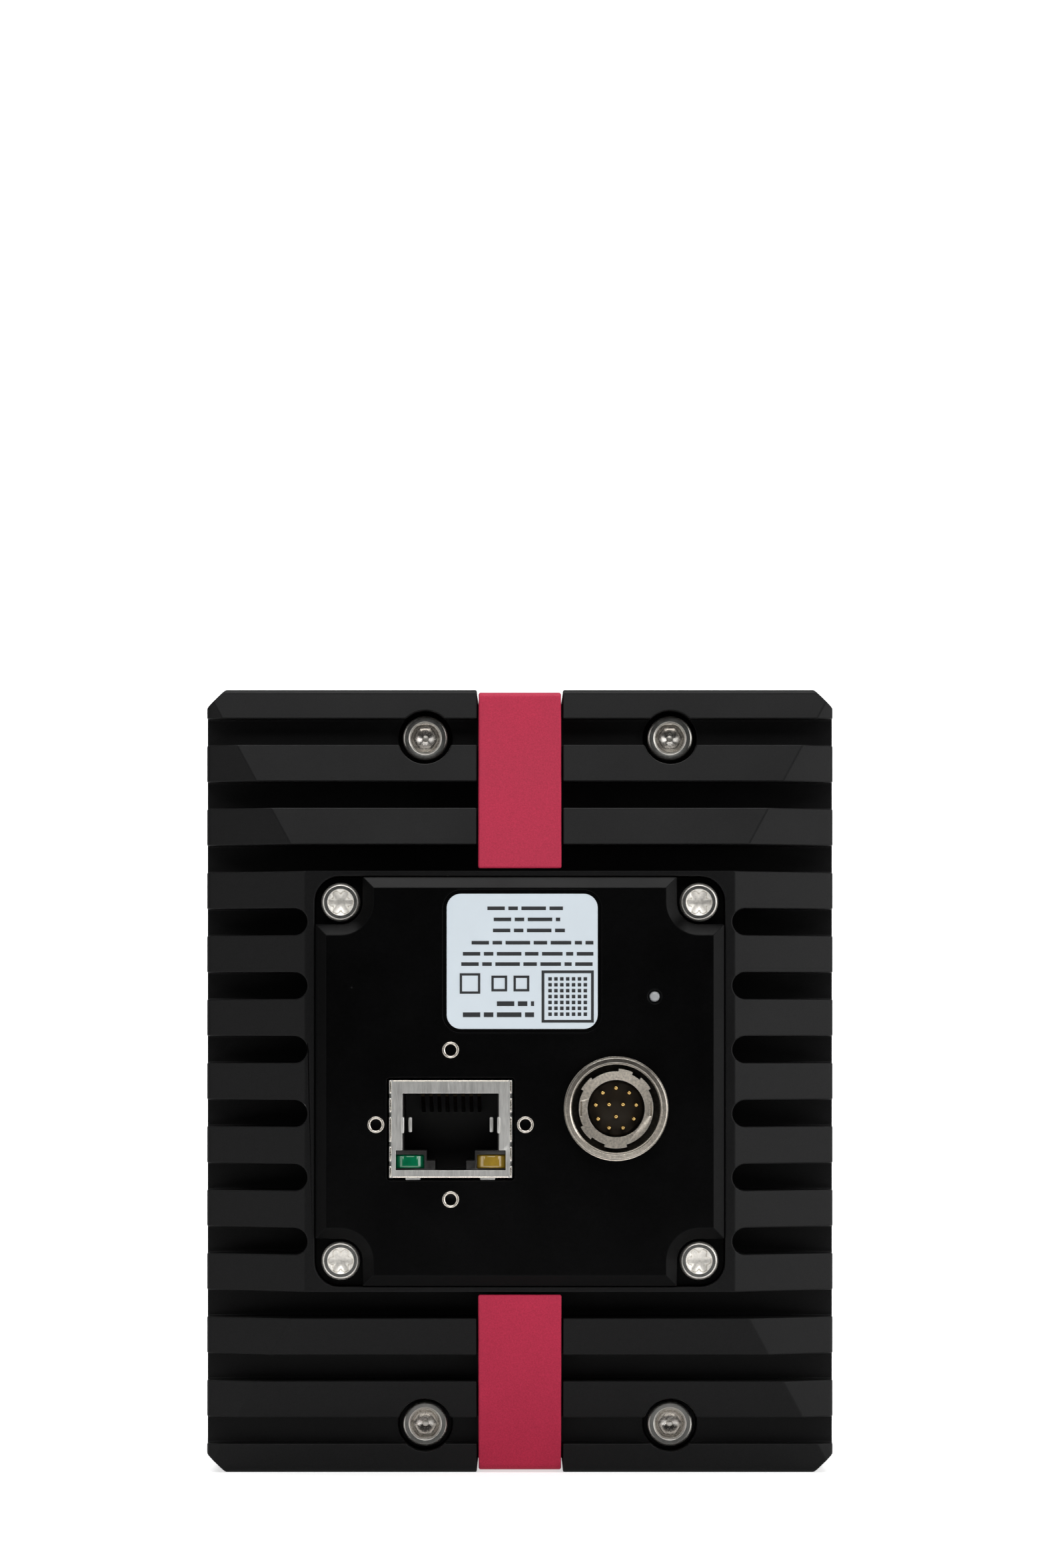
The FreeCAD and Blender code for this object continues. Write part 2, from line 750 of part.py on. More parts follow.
def make_jack_shield():
    """Folded sheet shield: stepped mouth, four notches a side and two feet below."""
    outer = centred("shield_outer", "jack_width", "jack_height", (jack_face, io_back), *jack_place)
    room = centred("shield_room", "jack_width - 2 * jack_sheet", "jack_height - 2 * jack_sheet",
                   (jack_inner, f"{io_back} + 1"), *jack_place)
    front = past(jack_face, jack_inner)
    tools = [room, jack_slot("shield_plug", "plug_width", plug_bottom, plug_top, front),
             jack_slot("shield_lamps", "lamp_row_width", lamp_bottom, f"{plug_bottom} + 0.01", front)]
    corner = (f"{jack_face} - 1", f"{jack_face} + 1")
    for index, share in enumerate((0.339, 0.146, -0.156, -0.354)):
        upward = f"(jack_up + jack_height * {share})"
        span = (f"{upward} - shield_notch_height / 2", f"{upward} + shield_notch_height / 2")
        for side, sign in (("right", "+"), ("left", "-")):
            edge = f"(jack_across {sign} jack_width / 2)"
            tools.append(block(f"notch_{side}_{index}", (f"{edge} - shield_notch", f"{edge} + shield_notch"),
                               corner, span))
    bottom = "(jack_up - jack_height / 2)"
    feet = [block(f"shield_foot_{index}", (f"jack_across {place}", f"jack_across {place} + shield_foot"),
                  (jack_face, f"{jack_face} + 3"), (f"{bottom} - shield_foot_sheet", bottom))
            for index, place in enumerate(("- 5.7", "+ 3.75"))]
    return fuse("rj45_shield", [cut("shield_box", outer, tools)] + feet)


def make_jack():
    """Network jack: sheet shield, moulding, eight contact springs and two lamps."""
    moulding_blank = centred("jack_moulding", "jack_width - 2 * jack_sheet", "jack_height - 2 * jack_sheet",
                             (jack_inner, io_back), *jack_place)
    inside = (f"{jack_inner} - 1", f"{jack_inner} + plug_depth")
    lamp_span = (f"({lamp_bottom} + lamp_gap)", f"({lamp_bottom} + lamp_gap + lamp_height)")
    row_left, row_right = "jack_across - lamp_row_width / 2", "jack_across + lamp_row_width / 2"
    lamp_sides = [(row_left, f"{row_left} + lamp_width"), (f"{row_right} - lamp_width", row_right)]
    lamp_along = (jack_inner, f"{jack_inner} + lamp_depth")
    lamp_rooms = [block(f"lamp_room_{index}", side, (f"{jack_inner} - 1", lamp_along[1]), lamp_span)
                  for index, side in enumerate(lamp_sides)]
    latch_bottom = f"({plug_bottom} - latch_height)"
    tools = [jack_slot("plug_room", "plug_width - plug_slack", plug_bottom, plug_top, inside),
             jack_slot("latch_room", "latch_width", latch_bottom, f"{plug_bottom} + 0.01", inside),
             jack_slot("latch_slot_room", "latch_slot", lamp_bottom, f"{latch_bottom} + 0.01", inside)]
    moulding = cut("rj45_insulator", moulding_blank, tools + lamp_rooms)
    lamps = [block(name, side, lamp_along, lamp_span)
             for name, side in zip(("rj45_led_green", "rj45_led_yellow"), lamp_sides)]
    start, drop = f"{jack_inner} + contact_start", f"{plug_top} - contact_drop"
    end = f"{start} + contact_length"
    profile = [(start, plug_top), (start, f"{plug_top} - contact_sheet"), (end, drop), (f"{end} + 0.7", drop),
               (f"{end} + 0.7", f"{drop} + contact_sheet"), (f"{end} + 0.2", f"{drop} + contact_sheet"),
               (f"{start} + 0.8", plug_top)]
    contacts = []
    for index in range(8):
        middle = f"(jack_across + ({index} - 3.5) * contact_pitch)"
        span = (f"{middle} - contact_width / 2", f"{middle} + contact_width / 2")
        contacts.append(padded(f"contact_{index}", profile, span, "YZ_Plane"))
    return [make_jack_shield(), moulding, group("rj45_contacts", contacts)] + lamps


def make_round_receptacle():
    """Push-pull receptacle: shell with a keyed sleeve, insert, pins, seal and nut."""
    face = f"({cover_face} - flange_height - seal_height)"
    shoulder = f"({cover_face} - seal_height)"
    groove = f"({face} + round_groove_depth)"
    cup = f"({face} + round_cup_depth)"
    tail = f"({cover_face} + round_tail)"
    turned_shell = turned("shell_turned", [
        (key_bore, f"{face} + 0.5"), (key_shell, f"{face} + 0.5"), (key_shell, groove),
        (round_mouth, groove), (round_mouth, f"{face} + round_edge"), (f"{round_mouth} + round_edge", face),
        (f"{round_flange} - round_edge", face), (round_flange, f"{face} + round_edge"),
        (round_flange, shoulder), ("round_body", shoulder), ("round_body", tail), (key_bore, tail)],
        *round_place)
    sleeve = (f"{face} + 0.5", groove)
    lobes = [sector(f"shell_lobe_{index}", f"{key_shell} + key_lobe", sleeve, span, round_place)
             for index, span in enumerate(((30, 51), (65, 86), (129, 151), (208, 230), (253, 286)))]
    outer = f"({key_shell} - key_slot_wall)"
    tools = [rod("shell_bore", key_bore, past(face, tail), *round_place)]
    for name, sign in (("right", "+"), ("left", "-")):
        near, far = (f"round_across {sign} {reach}" for reach in (f"({outer} - key_slot_width)", outer))
        tools.append(block(f"shell_slot_{name}", (near, far) if sign == "+" else (far, near),
                           (f"{face} - 1", f"{face} + 0.5 + key_slot_depth"),
                           ("round_up - key_slot / 2", "round_up + key_slot / 2")))
    shell = cut("round_connector_shell", fuse("shell_blank", [turned_shell] + lobes), tools)
    spots = [on_circle("pin_circle", 90 + 40 * step, *round_place) for step in range(9)]
    spots += [on_circle("pin_inner_circle", 30 + 120 * step, *round_place) for step in range(3)]
    point = f"{cup} - pin_reach"
    pins = [fuse(f"pin_{index}", [
        rod(f"pin_stem_{index}", "pin_radius", (f"{point} + pin_point", io_back), *spot),
        cone(f"pin_tip_{index}", "pin_radius / 2", "pin_radius", (point, f"{point} + pin_point"), *spot)])
        for index, spot in enumerate(spots)]
    insert = cut("round_connector_insert", rod("insert_blank", key_bore, (cup, tail), *round_place),
                 rods("pin_hole", "pin_radius", past(cup, tail), spots))
    outer, inner = f"{round_flange} - 0.1", "round_body + 0.01"
    seal = turned("round_connector_seal", [(inner, shoulder), (outer, shoulder), (outer, cover_face),
                                           (inner, cover_face)], *round_place)
    nut_span = (cover_back, f"{cover_back} + round_nut_height")
    nut = cut("round_connector_nut", hexagon("nut_blank", "round_body + nut_wall", nut_span, *round_place),
              [rod("nut_bore", "round_body", past(*nut_span), *round_place)])
    return [shell, insert, group("round_connector_pins", pins), seal, nut]


def make_front_housing():
    shell = octagon("front_outline", (joint, plate_back))
    sensor_span, board_span = (bulkhead_front, f"{plate_back} + 1"), (f"{joint} - 1", bulkhead_back)
    tools = strip_channels("front_channel")
    tools += [rounded("sensor_room", cavity_width, cavity_height, "cavity_corner", sensor_span),
              rounded("board_room", cavity_width, cavity_height, "cavity_corner", board_span),
              centred("ribbon_slot", "ribbon_width + 2 * ribbon_slot_margin", "ribbon_slot_height",
                      past(bulkhead_back, bulkhead_front), 0, ribbon_up),
              seal_ring("rear_seal_groove", (joint, f"{joint} + seal_depth")),
              seal_ring("front_seal_groove", (f"{plate_back} - seal_depth", plate_back))]
    tools += rods("bolt_thread", "bolt_radius", (joint, f"{bolt_seat} + bolt_length + 1"), bolt_places)
    tools += rods("plate_thread_hole", "bolt_radius", (f"{plate_back} - plate_thread", plate_back),
                  plate_places)
    thread = (f"{bulkhead_front} - spreader_thread", bulkhead_front)
    tools += rods("post_thread", "torx_shaft", thread, post_places)
    tools += rods("spreader_thread_hole", "torx_shaft", thread, spreader_places)
    bottom = (f"-{half_height} - 1", f"-{half_height} + base_hole_depth")
    for side, across in (("right", "base_across"), ("left", "-base_across")):
        tools += [bar(f"base_{side}_front", "base_hole", bottom, across, "-base_front"),
                  bar(f"base_{side}_rear", "base_hole", bottom, across, "-base_rear")]
    return cut("front_housing", shell, tools)


def make_front_plate():
    blank = octagon("plate_blank", (plate_back, plate_face))
    bore_floor = f"{plate_face} - plate_bore_depth"
    pocket = f"{bore_floor} - (window_seal + window_depth + clamp_depth)"
    tools = [rod("plate_bore", "ring_radius + ring_fit", (bore_floor, f"{plate_face} + 1")),
             rod("window_pocket", "window_radius + window_fit", (pocket, bore_floor)),
             rod("plate_eye", "window_clear", (f"{plate_back} - 1", pocket))]
    tools += rods("plate_sink", "counterbore", (plate_seat, f"{plate_face} + 1"), plate_places)
    tools += rods("plate_pass", "bolt_hole", past(plate_back, plate_face), plate_places)
    return cut("front_plate", blank, tools)


def make_lens_mount():
    ring_back = "-ring_depth"
    under = f"{plate_face} + ring_lift"
    ring = turned("ring_turned", [
        ("mount_radius", "-mount_thread"), ("mount_radius", 0), (f"{ring_flange} - ring_edge", 0),
        (ring_flange, "-ring_edge"), (ring_flange, under), ("ring_radius", under), ("ring_radius", ring_back),
        ("ring_radius - ring_wall", ring_back), ("ring_radius - ring_wall", "-mount_thread")])
    spots = [on_circle("(ring_radius - set_screw_inset)", 90 + 120 * index) for index in range(3)]
    top, bottom = "-set_screw_sink", "-set_screw_sink - set_screw_length"
    socket = (f"{top} - set_screw_socket_depth", 1)
    screws = [cut(f"set_screw_{index}", rod(f"set_body_{index}", "set_screw_radius", (bottom, top), *spot),
                  [hexagon(f"set_hex_{index}", "set_screw_socket", socket, *spot)])
              for index, spot in enumerate(spots)]
    return [cut("lens_mount_ring", ring, rods("set_hole", "set_screw_radius", (bottom, 1), spots)),
            group("lens_mount_lock_screws", screws)]


def make_dust_cap():
    inside = f"({ring_flange} + cap_fit)"
    outside = f"({inside} + cap_wall)"
    top = "(cap_gap + cap_face)"
    dish = f"{top} - cap_dish"
    cap = turned("cap_turned", [
        (0, "cap_gap"), (inside, "cap_gap"), (inside, "-cap_skirt"), (outside, "-cap_skirt"),
        (outside, f"{top} - cap_edge"), (f"{outside} - cap_edge", top), (f"{outside} - cap_rim", top),
        (f"{outside} - cap_rim - cap_dish", dish), (0, dish)])
    count = 36
    spots = [on_circle(f"({outside} + cap_rib_out)", 360 / count * index) for index in range(count)]
    return cut("dust_cap", cap, rods("flute", "cap_rib", ("-cap_skirt - 1", f"{top} - 1"), spots))


def make_window():
    floor = f"({plate_face} - plate_bore_depth - window_seal - window_depth - clamp_depth)"
    glass = f"({floor} + window_seal)"
    clamp = f"({glass} + window_depth)"
    inner, outer = "window_clear", "window_radius + window_fit"
    seal = turned("window_seal", [(inner, floor), ("window_radius", floor), ("window_radius", glass),
                                  (inner, glass)])
    ring = turned("window_retaining_ring", [(inner, clamp), (outer, clamp), (outer, f"{clamp} + clamp_depth"),
                                            (inner, f"{clamp} + clamp_depth")])
    return [seal, rod("filter_window", "window_radius", (glass, clamp)), ring]


def make_sensor_stack():
    """Detector package: window, chip, carrier, thermoelectric cooler, and the copper spreader behind it."""
    chip_face = "-flange_focal"
    spans = []
    level = chip_face
    for depth in ("chip_depth", "carrier_depth", "cold_plate_depth", "cooler_leg", "hot_plate_depth"):
        spans.append((f"{level} - {depth}", level))
        level = f"{level} - {depth}"
    chip_span, carrier_span, cold_span, leg_span, hot_span = spans
    back, lid = f"{level} - package_base", f"{chip_face} + package_rise"
    legs = [centred(f"leg_{row}_{column}", "leg_side", "leg_side", leg_span,
                    f"({column} - 2.5) * leg_pitch_across", f"({row} - 1.5) * leg_pitch_up")
            for row in range(4) for column in range(6)]
    shell = centred("package_blank", "package_width", "package_height", (back, lid))
    room = centred("package_room", "package_width - 2 * package_wall", "package_height - 2 * package_wall",
                   (level, f"{lid} - package_lid"))
    eye = centred("package_eye", "package_eye_width", "package_eye_height", past(f"{lid} - package_lid", lid))
    pins = [rod(f"package_pin_{row}_{column}", "package_pin", (sensor_board_front, back),
                f"({column} - 6.5) * package_pin_pitch", f"{sign}package_pin_row")
            for row, sign in enumerate(("", "-")) for column in range(14)]
    spreader = fuse("spreader_blank", [
        centred("spreader_base", "spreader_width", "spreader_height", (bulkhead_front, spreader_face)),
        centred("spreader_boss", "boss_width", "boss_height", (spreader_face, back))])
    holes = rods("spreader_hole", "torx_shaft", past(bulkhead_front, spreader_face), spreader_places)
    screws = plain_screws("spreader_screw", f"{bulkhead_front} - 3", spreader_face, "spreader_head",
                          spreader_places)
    return [centred("sensor_chip", "chip_width", "chip_height", chip_span),
            centred("chip_carrier", "carrier_width", "carrier_height", carrier_span),
            centred("cooler_cold_plate", "cold_plate_width", "cold_plate_height", cold_span),
            centred("cooler_hot_plate", "hot_plate_width", "hot_plate_height", hot_span),
            group("cooler_elements", legs), cut("sensor_package", shell, [room, eye]),
            centred("sensor_window", "glass_width", "glass_height", (lid, f"{lid} + window_glass")),
            group("sensor_pins", pins), cut("heat_spreader", spreader, holes),
            group("heat_spreader_screws", screws)]


def make_sensor_board():
    span = (sensor_board_back, sensor_board_front)
    window = centred("board_window", "boss_width + 2", "boss_height + 2", past(*span))
    board = cut("sensor_board", rounded("sensor_board_blank", *board_plate, span),
                [window] + rods("sensor_board_hole", "torx_shaft", past(*span), post_places))
    reach = (bulkhead_front, sensor_board_back)
    posts = tubes("sensor_post", "post_radius", "torx_shaft", reach, post_places)
    screws = plain_screws("sensor_screw", f"{bulkhead_front} - 2", sensor_board_front, "board_head",
                          post_places)
    front = (f"{sensor_board_back} - flex_plug_depth", sensor_board_back)
    rear = (processing_front, f"{processing_front} + flex_plug_depth")
    ribbon = (rear[1], front[0])
    return [board, group("sensor_board_standoffs", posts), group("sensor_board_screws", screws),
            centred("flex_connector_front", "ribbon_width + 2", "flex_plug_height", front, 0, ribbon_up),
            centred("flex_connector_rear", "ribbon_width + 2", "flex_plug_height", rear, 0, ribbon_up),
            centred("flex_ribbon", "ribbon_width", "ribbon_sheet", ribbon, 0, ribbon_up)]


def make_boards():
    """Interface board behind the connectors and processing board in front of it."""
    posts = tubes("io_post", "post_radius", "torx_shaft", (web_face, io_back), post_places)
    spacers = tubes("spacer", "post_radius", "torx_shaft", (io_front, processing_back), post_places)
    screws = plain_screws("board_screw", web_face, processing_front, "board_head", post_places)
    boards = [cut(name, rounded(name + "_blank", *board_plate, span),
                  rods(name + "_hole", "torx_shaft", past(*span), post_places))
              for name, span in (("io_board", (io_back, io_front)),
                                 ("processing_board", (processing_back, processing_front)))]
    return boards + [group("io_board_standoffs", posts), group("board_spacers", spacers),
                     group("board_screws", screws)]


def make_board_parts():
    heart = ("processor_across", "processor_up")
    chip_face = f"{processing_front} + processor_depth"
    pad_face = f"{chip_face} + pad_depth"
    memory = [centred(f"memory_{index}", "memory_width", "memory_height",
                      (processing_front, f"{processing_front} + memory_depth"), "memory_across",
                      f"({index} - 0.5) * memory_pitch + memory_up") for index in range(2)]
    lamp_back = f"{io_back} - lamp_chip_depth"
    coil_span = (io_front, f"{io_front} + inductor_depth")
    coil_place = ("inductor_across", "inductor_up")
    return [centred("processor_chip", "processor_side", "processor_side", (processing_front, chip_face),
                    *heart),
            centred("processor_thermal_pad", "pad_side", "pad_side", (chip_face, pad_face), *heart),
            centred("processor_heat_block", "bridge_side", "bridge_side", (pad_face, bulkhead_back), *heart),
            group("memory_chips", memory),
            centred("board_link_connector", "link_width", "link_height", (io_front, processing_back),
                    0, "link_up"),
            centred("ethernet_transformer", "transformer_width", "transformer_height",
                    (io_front, f"{io_front} + transformer_depth"), *jack_place),
            centred("power_inductor", "inductor_side", "inductor_side", coil_span, *coil_place),
            centred("status_led", "lamp_chip", "lamp_chip", (lamp_back, io_back), *light_place),
            rod("status_light_pipe", "light_radius", (f"{cover_face} + 0.1", lamp_back), *light_place)]


def make_fasteners():
    housing = [socket_bolt(f"housing_bolt_{index}", bolt_seat, place, "bolt_length")
               for index, place in enumerate(bolt_places)]
    plate = [socket_bolt(f"plate_screw_{index}", plate_seat, place, "plate_screw_length", forward=True)
             for index, place in enumerate(plate_places)]
    cover = [torx_screw(f"cover_bolt_{index}", f"({ear_face})", place, "torx_length")
             for index, place in enumerate(cover_places)]
    inserts = tubes("insert", "insert_radius", "insert_thread", (cover_face, cover_back), insert_places)
    return [group("housing_screws", housing), group("front_plate_screws", plate),
            group("rear_cover_screws", cover), group("lock_screw_inserts", inserts)]


def make_label():
    bed = f"{cover_face} + label_pocket"
    return rounded("label", "label_width", "label_height", "label_corner", (f"{bed} - label_sheet", bed),
                   "label_across", "label_up")


nodes = [make_rear_housing(), make_rear_cover(), make_cover_gasket(), make_front_housing(),
         make_front_plate(), red_strip("red_strip_top", ""), red_strip("red_strip_bottom", "-"),
         seal_ring("housing_gasket", (joint, f"{joint} + seal_depth")),
         seal_ring("front_gasket", (f"{plate_back} - seal_depth", plate_back)), make_dust_cap(), make_label()]
for make in (make_fasteners, make_jack, make_round_receptacle, make_lens_mount, make_window,
             make_sensor_stack, make_sensor_board, make_boards, make_board_parts):
    nodes += make()

doc.recompute()
faults = [item.Name for item in doc.Objects if "Invalid" in item.State or "Error" in item.State]
faults += [node.Name for node in nodes if node.Shape.isNull() or not node.Shape.isValid()]
if faults:
    raise SystemExit(f"failed objects: {faults}")

os.makedirs("parts", exist_ok=True)
for node in nodes:
    node.Label = node.Name
    node.Shape.exportStep(f"parts/{node.Label}.step")
    print(f"{node.Label}: {len(node.Shape.Solids)} solid(s), {node.Shape.Volume:.1f} mm3")
print(len(nodes), "nodes")
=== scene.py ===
import bpy, bmesh, json, math
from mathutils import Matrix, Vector

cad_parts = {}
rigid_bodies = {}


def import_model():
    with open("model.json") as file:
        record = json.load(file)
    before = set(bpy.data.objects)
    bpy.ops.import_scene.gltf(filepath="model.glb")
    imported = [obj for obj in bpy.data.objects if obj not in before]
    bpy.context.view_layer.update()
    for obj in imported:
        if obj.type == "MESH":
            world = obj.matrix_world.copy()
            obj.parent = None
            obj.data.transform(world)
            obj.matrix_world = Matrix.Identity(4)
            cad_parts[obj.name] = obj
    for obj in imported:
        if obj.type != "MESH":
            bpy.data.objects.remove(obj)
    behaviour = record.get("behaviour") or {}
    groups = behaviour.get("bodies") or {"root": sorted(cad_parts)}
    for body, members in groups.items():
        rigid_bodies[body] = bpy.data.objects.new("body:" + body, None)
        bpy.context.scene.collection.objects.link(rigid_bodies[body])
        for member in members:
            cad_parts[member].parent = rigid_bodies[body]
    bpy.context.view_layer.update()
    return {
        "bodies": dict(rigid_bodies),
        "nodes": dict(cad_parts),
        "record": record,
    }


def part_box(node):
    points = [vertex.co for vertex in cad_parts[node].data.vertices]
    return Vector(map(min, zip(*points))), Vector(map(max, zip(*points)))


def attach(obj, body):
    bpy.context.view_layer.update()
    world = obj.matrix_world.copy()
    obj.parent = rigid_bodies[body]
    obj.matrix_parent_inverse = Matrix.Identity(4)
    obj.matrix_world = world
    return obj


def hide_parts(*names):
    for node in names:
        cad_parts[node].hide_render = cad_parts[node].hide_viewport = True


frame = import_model()
nodes = frame["nodes"]
slotOf = {part["node"]: part["material_slot"] for part in frame["record"]["subparts"]}
mm = 0.001
print("frame loaded:", len(nodes), "nodes")


# shader maths

class Wire:
    def __init__(self, finish, socket):
        self.finish, self.socket = finish, socket

    def maths(self, operation, other=None, flipped=False):
        pair = [other, self] if flipped else [self, other]
        values = {index: value for index, value in enumerate(pair) if value is not None}
        return self.finish.node("ShaderNodeMath", {"operation": operation}, values)

    def __add__(self, other):
        return self.maths("ADD", other)

    def __radd__(self, other):
        return self.maths("ADD", other, True)

    def __sub__(self, other):
        return self.maths("SUBTRACT", other)

    def __rsub__(self, other):
        return self.maths("SUBTRACT", other, True)

    def __mul__(self, other):
        return self.maths("MULTIPLY", other)

    def __rmul__(self, other):
        return self.maths("MULTIPLY", other, True)

    def __gt__(self, other):
        return self.maths("GREATER_THAN", other)


class Finish:
    def __init__(self, name, **settings):
        self.material = bpy.data.materials.new(name)
        self.material.use_nodes = True
        self.tree = self.material.node_tree
        self.shader = next(n for n in self.tree.nodes if n.type == "BSDF_PRINCIPLED")
        self.set(**settings)

    def set(self, **settings):
        for name, value in settings.items():
            self.feed(self.shader.inputs[name.replace("_", " ")], value)

    def feed(self, socket, value):
        if isinstance(value, Wire):
            self.tree.links.new(value.socket, socket)
        elif socket.type == "RGBA" and len(value) == 3:
            socket.default_value = (*value, 1)
        else:
            socket.default_value = value

    def node(self, kind, settings=None, values=None, out=0):
        item = self.tree.nodes.new(kind)
        for name, value in (settings or {}).items():
            setattr(item, name, value)
        for key, value in (values or {}).items():
            self.feed(item.inputs[key], value)
        return Wire(self, item.outputs[out])

    def place(self, scale=(1, 1, 1), turn=(0, 0, 0)):
        spot = self.node("ShaderNodeTexCoord", out="Object")
        return self.node("ShaderNodeMapping", None, {"Vector": spot, "Scale": scale, "Rotation": turn})

    def axis(self, name):
        return self.node("ShaderNodeSeparateXYZ", None, {"Vector": self.place()}, name)

    def noise(self, scale, detail=2.0, roughness=0.5, where=None):
        return self.node("ShaderNodeTexNoise", None, {"Vector": where or self.place(), "Scale": scale,
                                                      "Detail": detail, "Roughness": roughness})

    def ramp(self, factor, low, high, first=0.0, last=1.0):
        return self.node("ShaderNodeMapRange", {"clamp": True}, {
            "Value": factor, "From Min": low, "From Max": high, "To Min": first, "To Max": last})

    def mix(self, factor, first, second):
        return self.node("ShaderNodeMix", {"data_type": "RGBA"}, {0: factor, 6: first, 7: second}, 2)

    def toned(self, colour, tone):
        return self.node("ShaderNodeVectorMath", {"operation": "SCALE"}, {"Vector": colour, "Scale": tone})

    def bump(self, height, depth, strength=1.0):
        return self.node("ShaderNodeBump", None, {"Height": height, "Distance": depth, "Strength": strength})

    def specks(self, scale, share):
        # a few round specks of dust, one in some cells of a cell pattern
        cells = {"Vector": self.place(), "Scale": scale}
        reach = self.node("ShaderNodeTexVoronoi", {"feature": "F1"}, cells)
        pick = self.node("ShaderNodeTexVoronoi", {"feature": "F1"}, cells, "Color")
        rare = self.node("ShaderNodeSeparateColor", None, {"Color": pick}, "Red") > 1 - share
        return self.ramp(reach, 0.09, 0.04) * rare


pitDepth = 0.006 * mm


def scaled(colour, factor):
    return tuple(part * factor for part in colour)


# finishes

def blasted(name, colour, roughness, grain, speck, specular, mottle=0.05, contrast=0.16):
    # bead-blasted and anodised metal: fine pits, slow mottling, faint handling marks and dust
    finish = Finish(name, Specular_IOR_Level=specular)
    pits = finish.noise(grain, 3.0, 0.65)
    cloud = finish.noise(95, 4.0, 0.6)
    streak = finish.noise(1.0, 4.0, 0.75, finish.place((90, 900, 2600), (0.2, 0.35, 0.1)))
    rubbed = finish.ramp(streak, 0.66, 0.74)
    dust = finish.specks(330, 0.03) * speck
    slow = finish.ramp(cloud, 0.3, 0.7, 1 - mottle, 1 + mottle)
    fine = finish.ramp(pits, 0.3, 0.7, 1 - contrast, 1 + contrast)
    finish.set(Base_Color=finish.mix(dust, finish.toned(colour, slow * fine), (0.3, 0.3, 0.3)),
               Roughness=finish.ramp(cloud, 0.3, 0.7, roughness - 0.04, roughness + 0.04) - rubbed * 0.05,
               Normal=finish.bump(pits, 2 * pitDepth, 0.6))
    return finish.material


def bright(name, colour, roughness, grain=2600, strength=0.35, contrast=0.12, socket=None):
    # turned or plated metal with fine pits
    finish = Finish(name, Metallic=1.0)
    marks = finish.noise(grain, 4.0, 0.7)
    cloud = finish.noise(grain / 3, 3.0, 0.6)
    slow = finish.ramp(cloud, 0.25, 0.75, 1 - contrast, 1 + contrast)
    tone = slow * finish.ramp(marks, 0.3, 0.7, 0.85, 1.1)
    height = marks
    if socket:
        # on a socket the tone carries painted shade, and the bump a slight cone
        tone = tone * socketPaintedShade(finish, socket)
        height = height + socketCone(finish, socket)
    finish.set(Base_Color=finish.toned(colour, tone),
               Roughness=finish.ramp(marks, 0.3, 0.7, roughness - 0.06, roughness + 0.1),
               Normal=finish.bump(height, pitDepth, strength))
    return finish.material


def socketPaintedShade(finish, look):
    # painted shade: darker on the face and there towards the top, none on the step, dark down in the groove
    # where shade falls
    depth, low = finish.axis("Y"), look["centre"][2]
    top = finish.ramp(depth, look["face"], look["step"], look["topShadeLevel"], 1.0)
    topShadeFade = finish.ramp(finish.axis("Z"), low, low + look["topShadeFade"], 1.0, top)
    groove = finish.ramp(depth, look["step"], look["groove"], 1.0, look["grooveShadeLevel"])
    return topShadeFade * groove * finish.ramp(depth, look["face"], look["step"], look["faceShadeLevel"], 1.0)


def socketCone(finish, look):
    # slightly conical about an axis along Y, with one slope on the face and another on the step
    away = {0: finish.place((1, 0, 1)), 1: look["centre"]}
    reach = finish.node("ShaderNodeVectorMath", {"operation": "DISTANCE"}, away, "Value")
    slopes = look["faceSlope"] / pitDepth, look["stepSlope"] / pitDepth
    return reach * finish.ramp(finish.axis("Y"), look["face"], look["step"], *slopes)


def brushed(name, colour, roughness, stretch):
    # sheet metal with a directional grain
    finish = Finish(name, Metallic=1.0)
    lines = finish.noise(1.0, 4.0, 0.7, finish.place(stretch))
    broad = finish.noise(1.0, 2.0, 0.5, finish.place(scaled(stretch, 0.2)))
    tone = finish.ramp(lines, 0.25, 0.75, 0.72, 1.12) * finish.ramp(broad, 0.3, 0.7, 0.9, 1.08)
    finish.set(Base_Color=finish.toned(colour, tone),
               Roughness=finish.ramp(lines, 0.2, 0.8, roughness - 0.08, roughness + 0.12),
               Normal=finish.bump(lines, 0.01 * mm, 0.5))
    return finish.material


def moulded(name, colour, roughness, grain=3000, depth=0.01 * mm, coat=0.0, specular=0.5, mottle=0.1):
    finish = Finish(name, Coat_Weight=coat, Specular_IOR_Level=specular)
    fine = finish.noise(grain, 3.0, 0.6)
    cloud = finish.noise(160, 3.0, 0.55)
    finish.set(Base_Color=finish.toned(colour, finish.ramp(cloud, 0.3, 0.7, 1 - mottle, 1 + mottle)),
               Roughness=finish.ramp(fine, 0.3, 0.7, roughness - 0.05, roughness + 0.05),
               Normal=finish.bump(fine, depth, 0.5))
    return finish.material


def lampWindow(name, colour):
    # glossy moulded window that glows very faintly
    finish = Finish(name, Roughness=0.08, Coat_Weight=1.0, Coat_Roughness=0.02, Specular_IOR_Level=0.7)
    cloud = finish.ramp(finish.noise(900, 2.0), 0.3, 0.7)
    finish.set(Base_Color=finish.mix(cloud, scaled(colour, 0.85), scaled(colour, 1.15)),
               Emission_Color=colour, Emission_Strength=0.1)
    return finish.material


def clearGlass(name, colour):
    finish = Finish(name, Transmission_Weight=1.0, IOR=1.5)
    haze = finish.noise(300, 3.0)
    finish.set(Base_Color=colour, Roughness=finish.ramp(haze, 0.3, 0.8, 0.02, 0.05))
    return finish.material


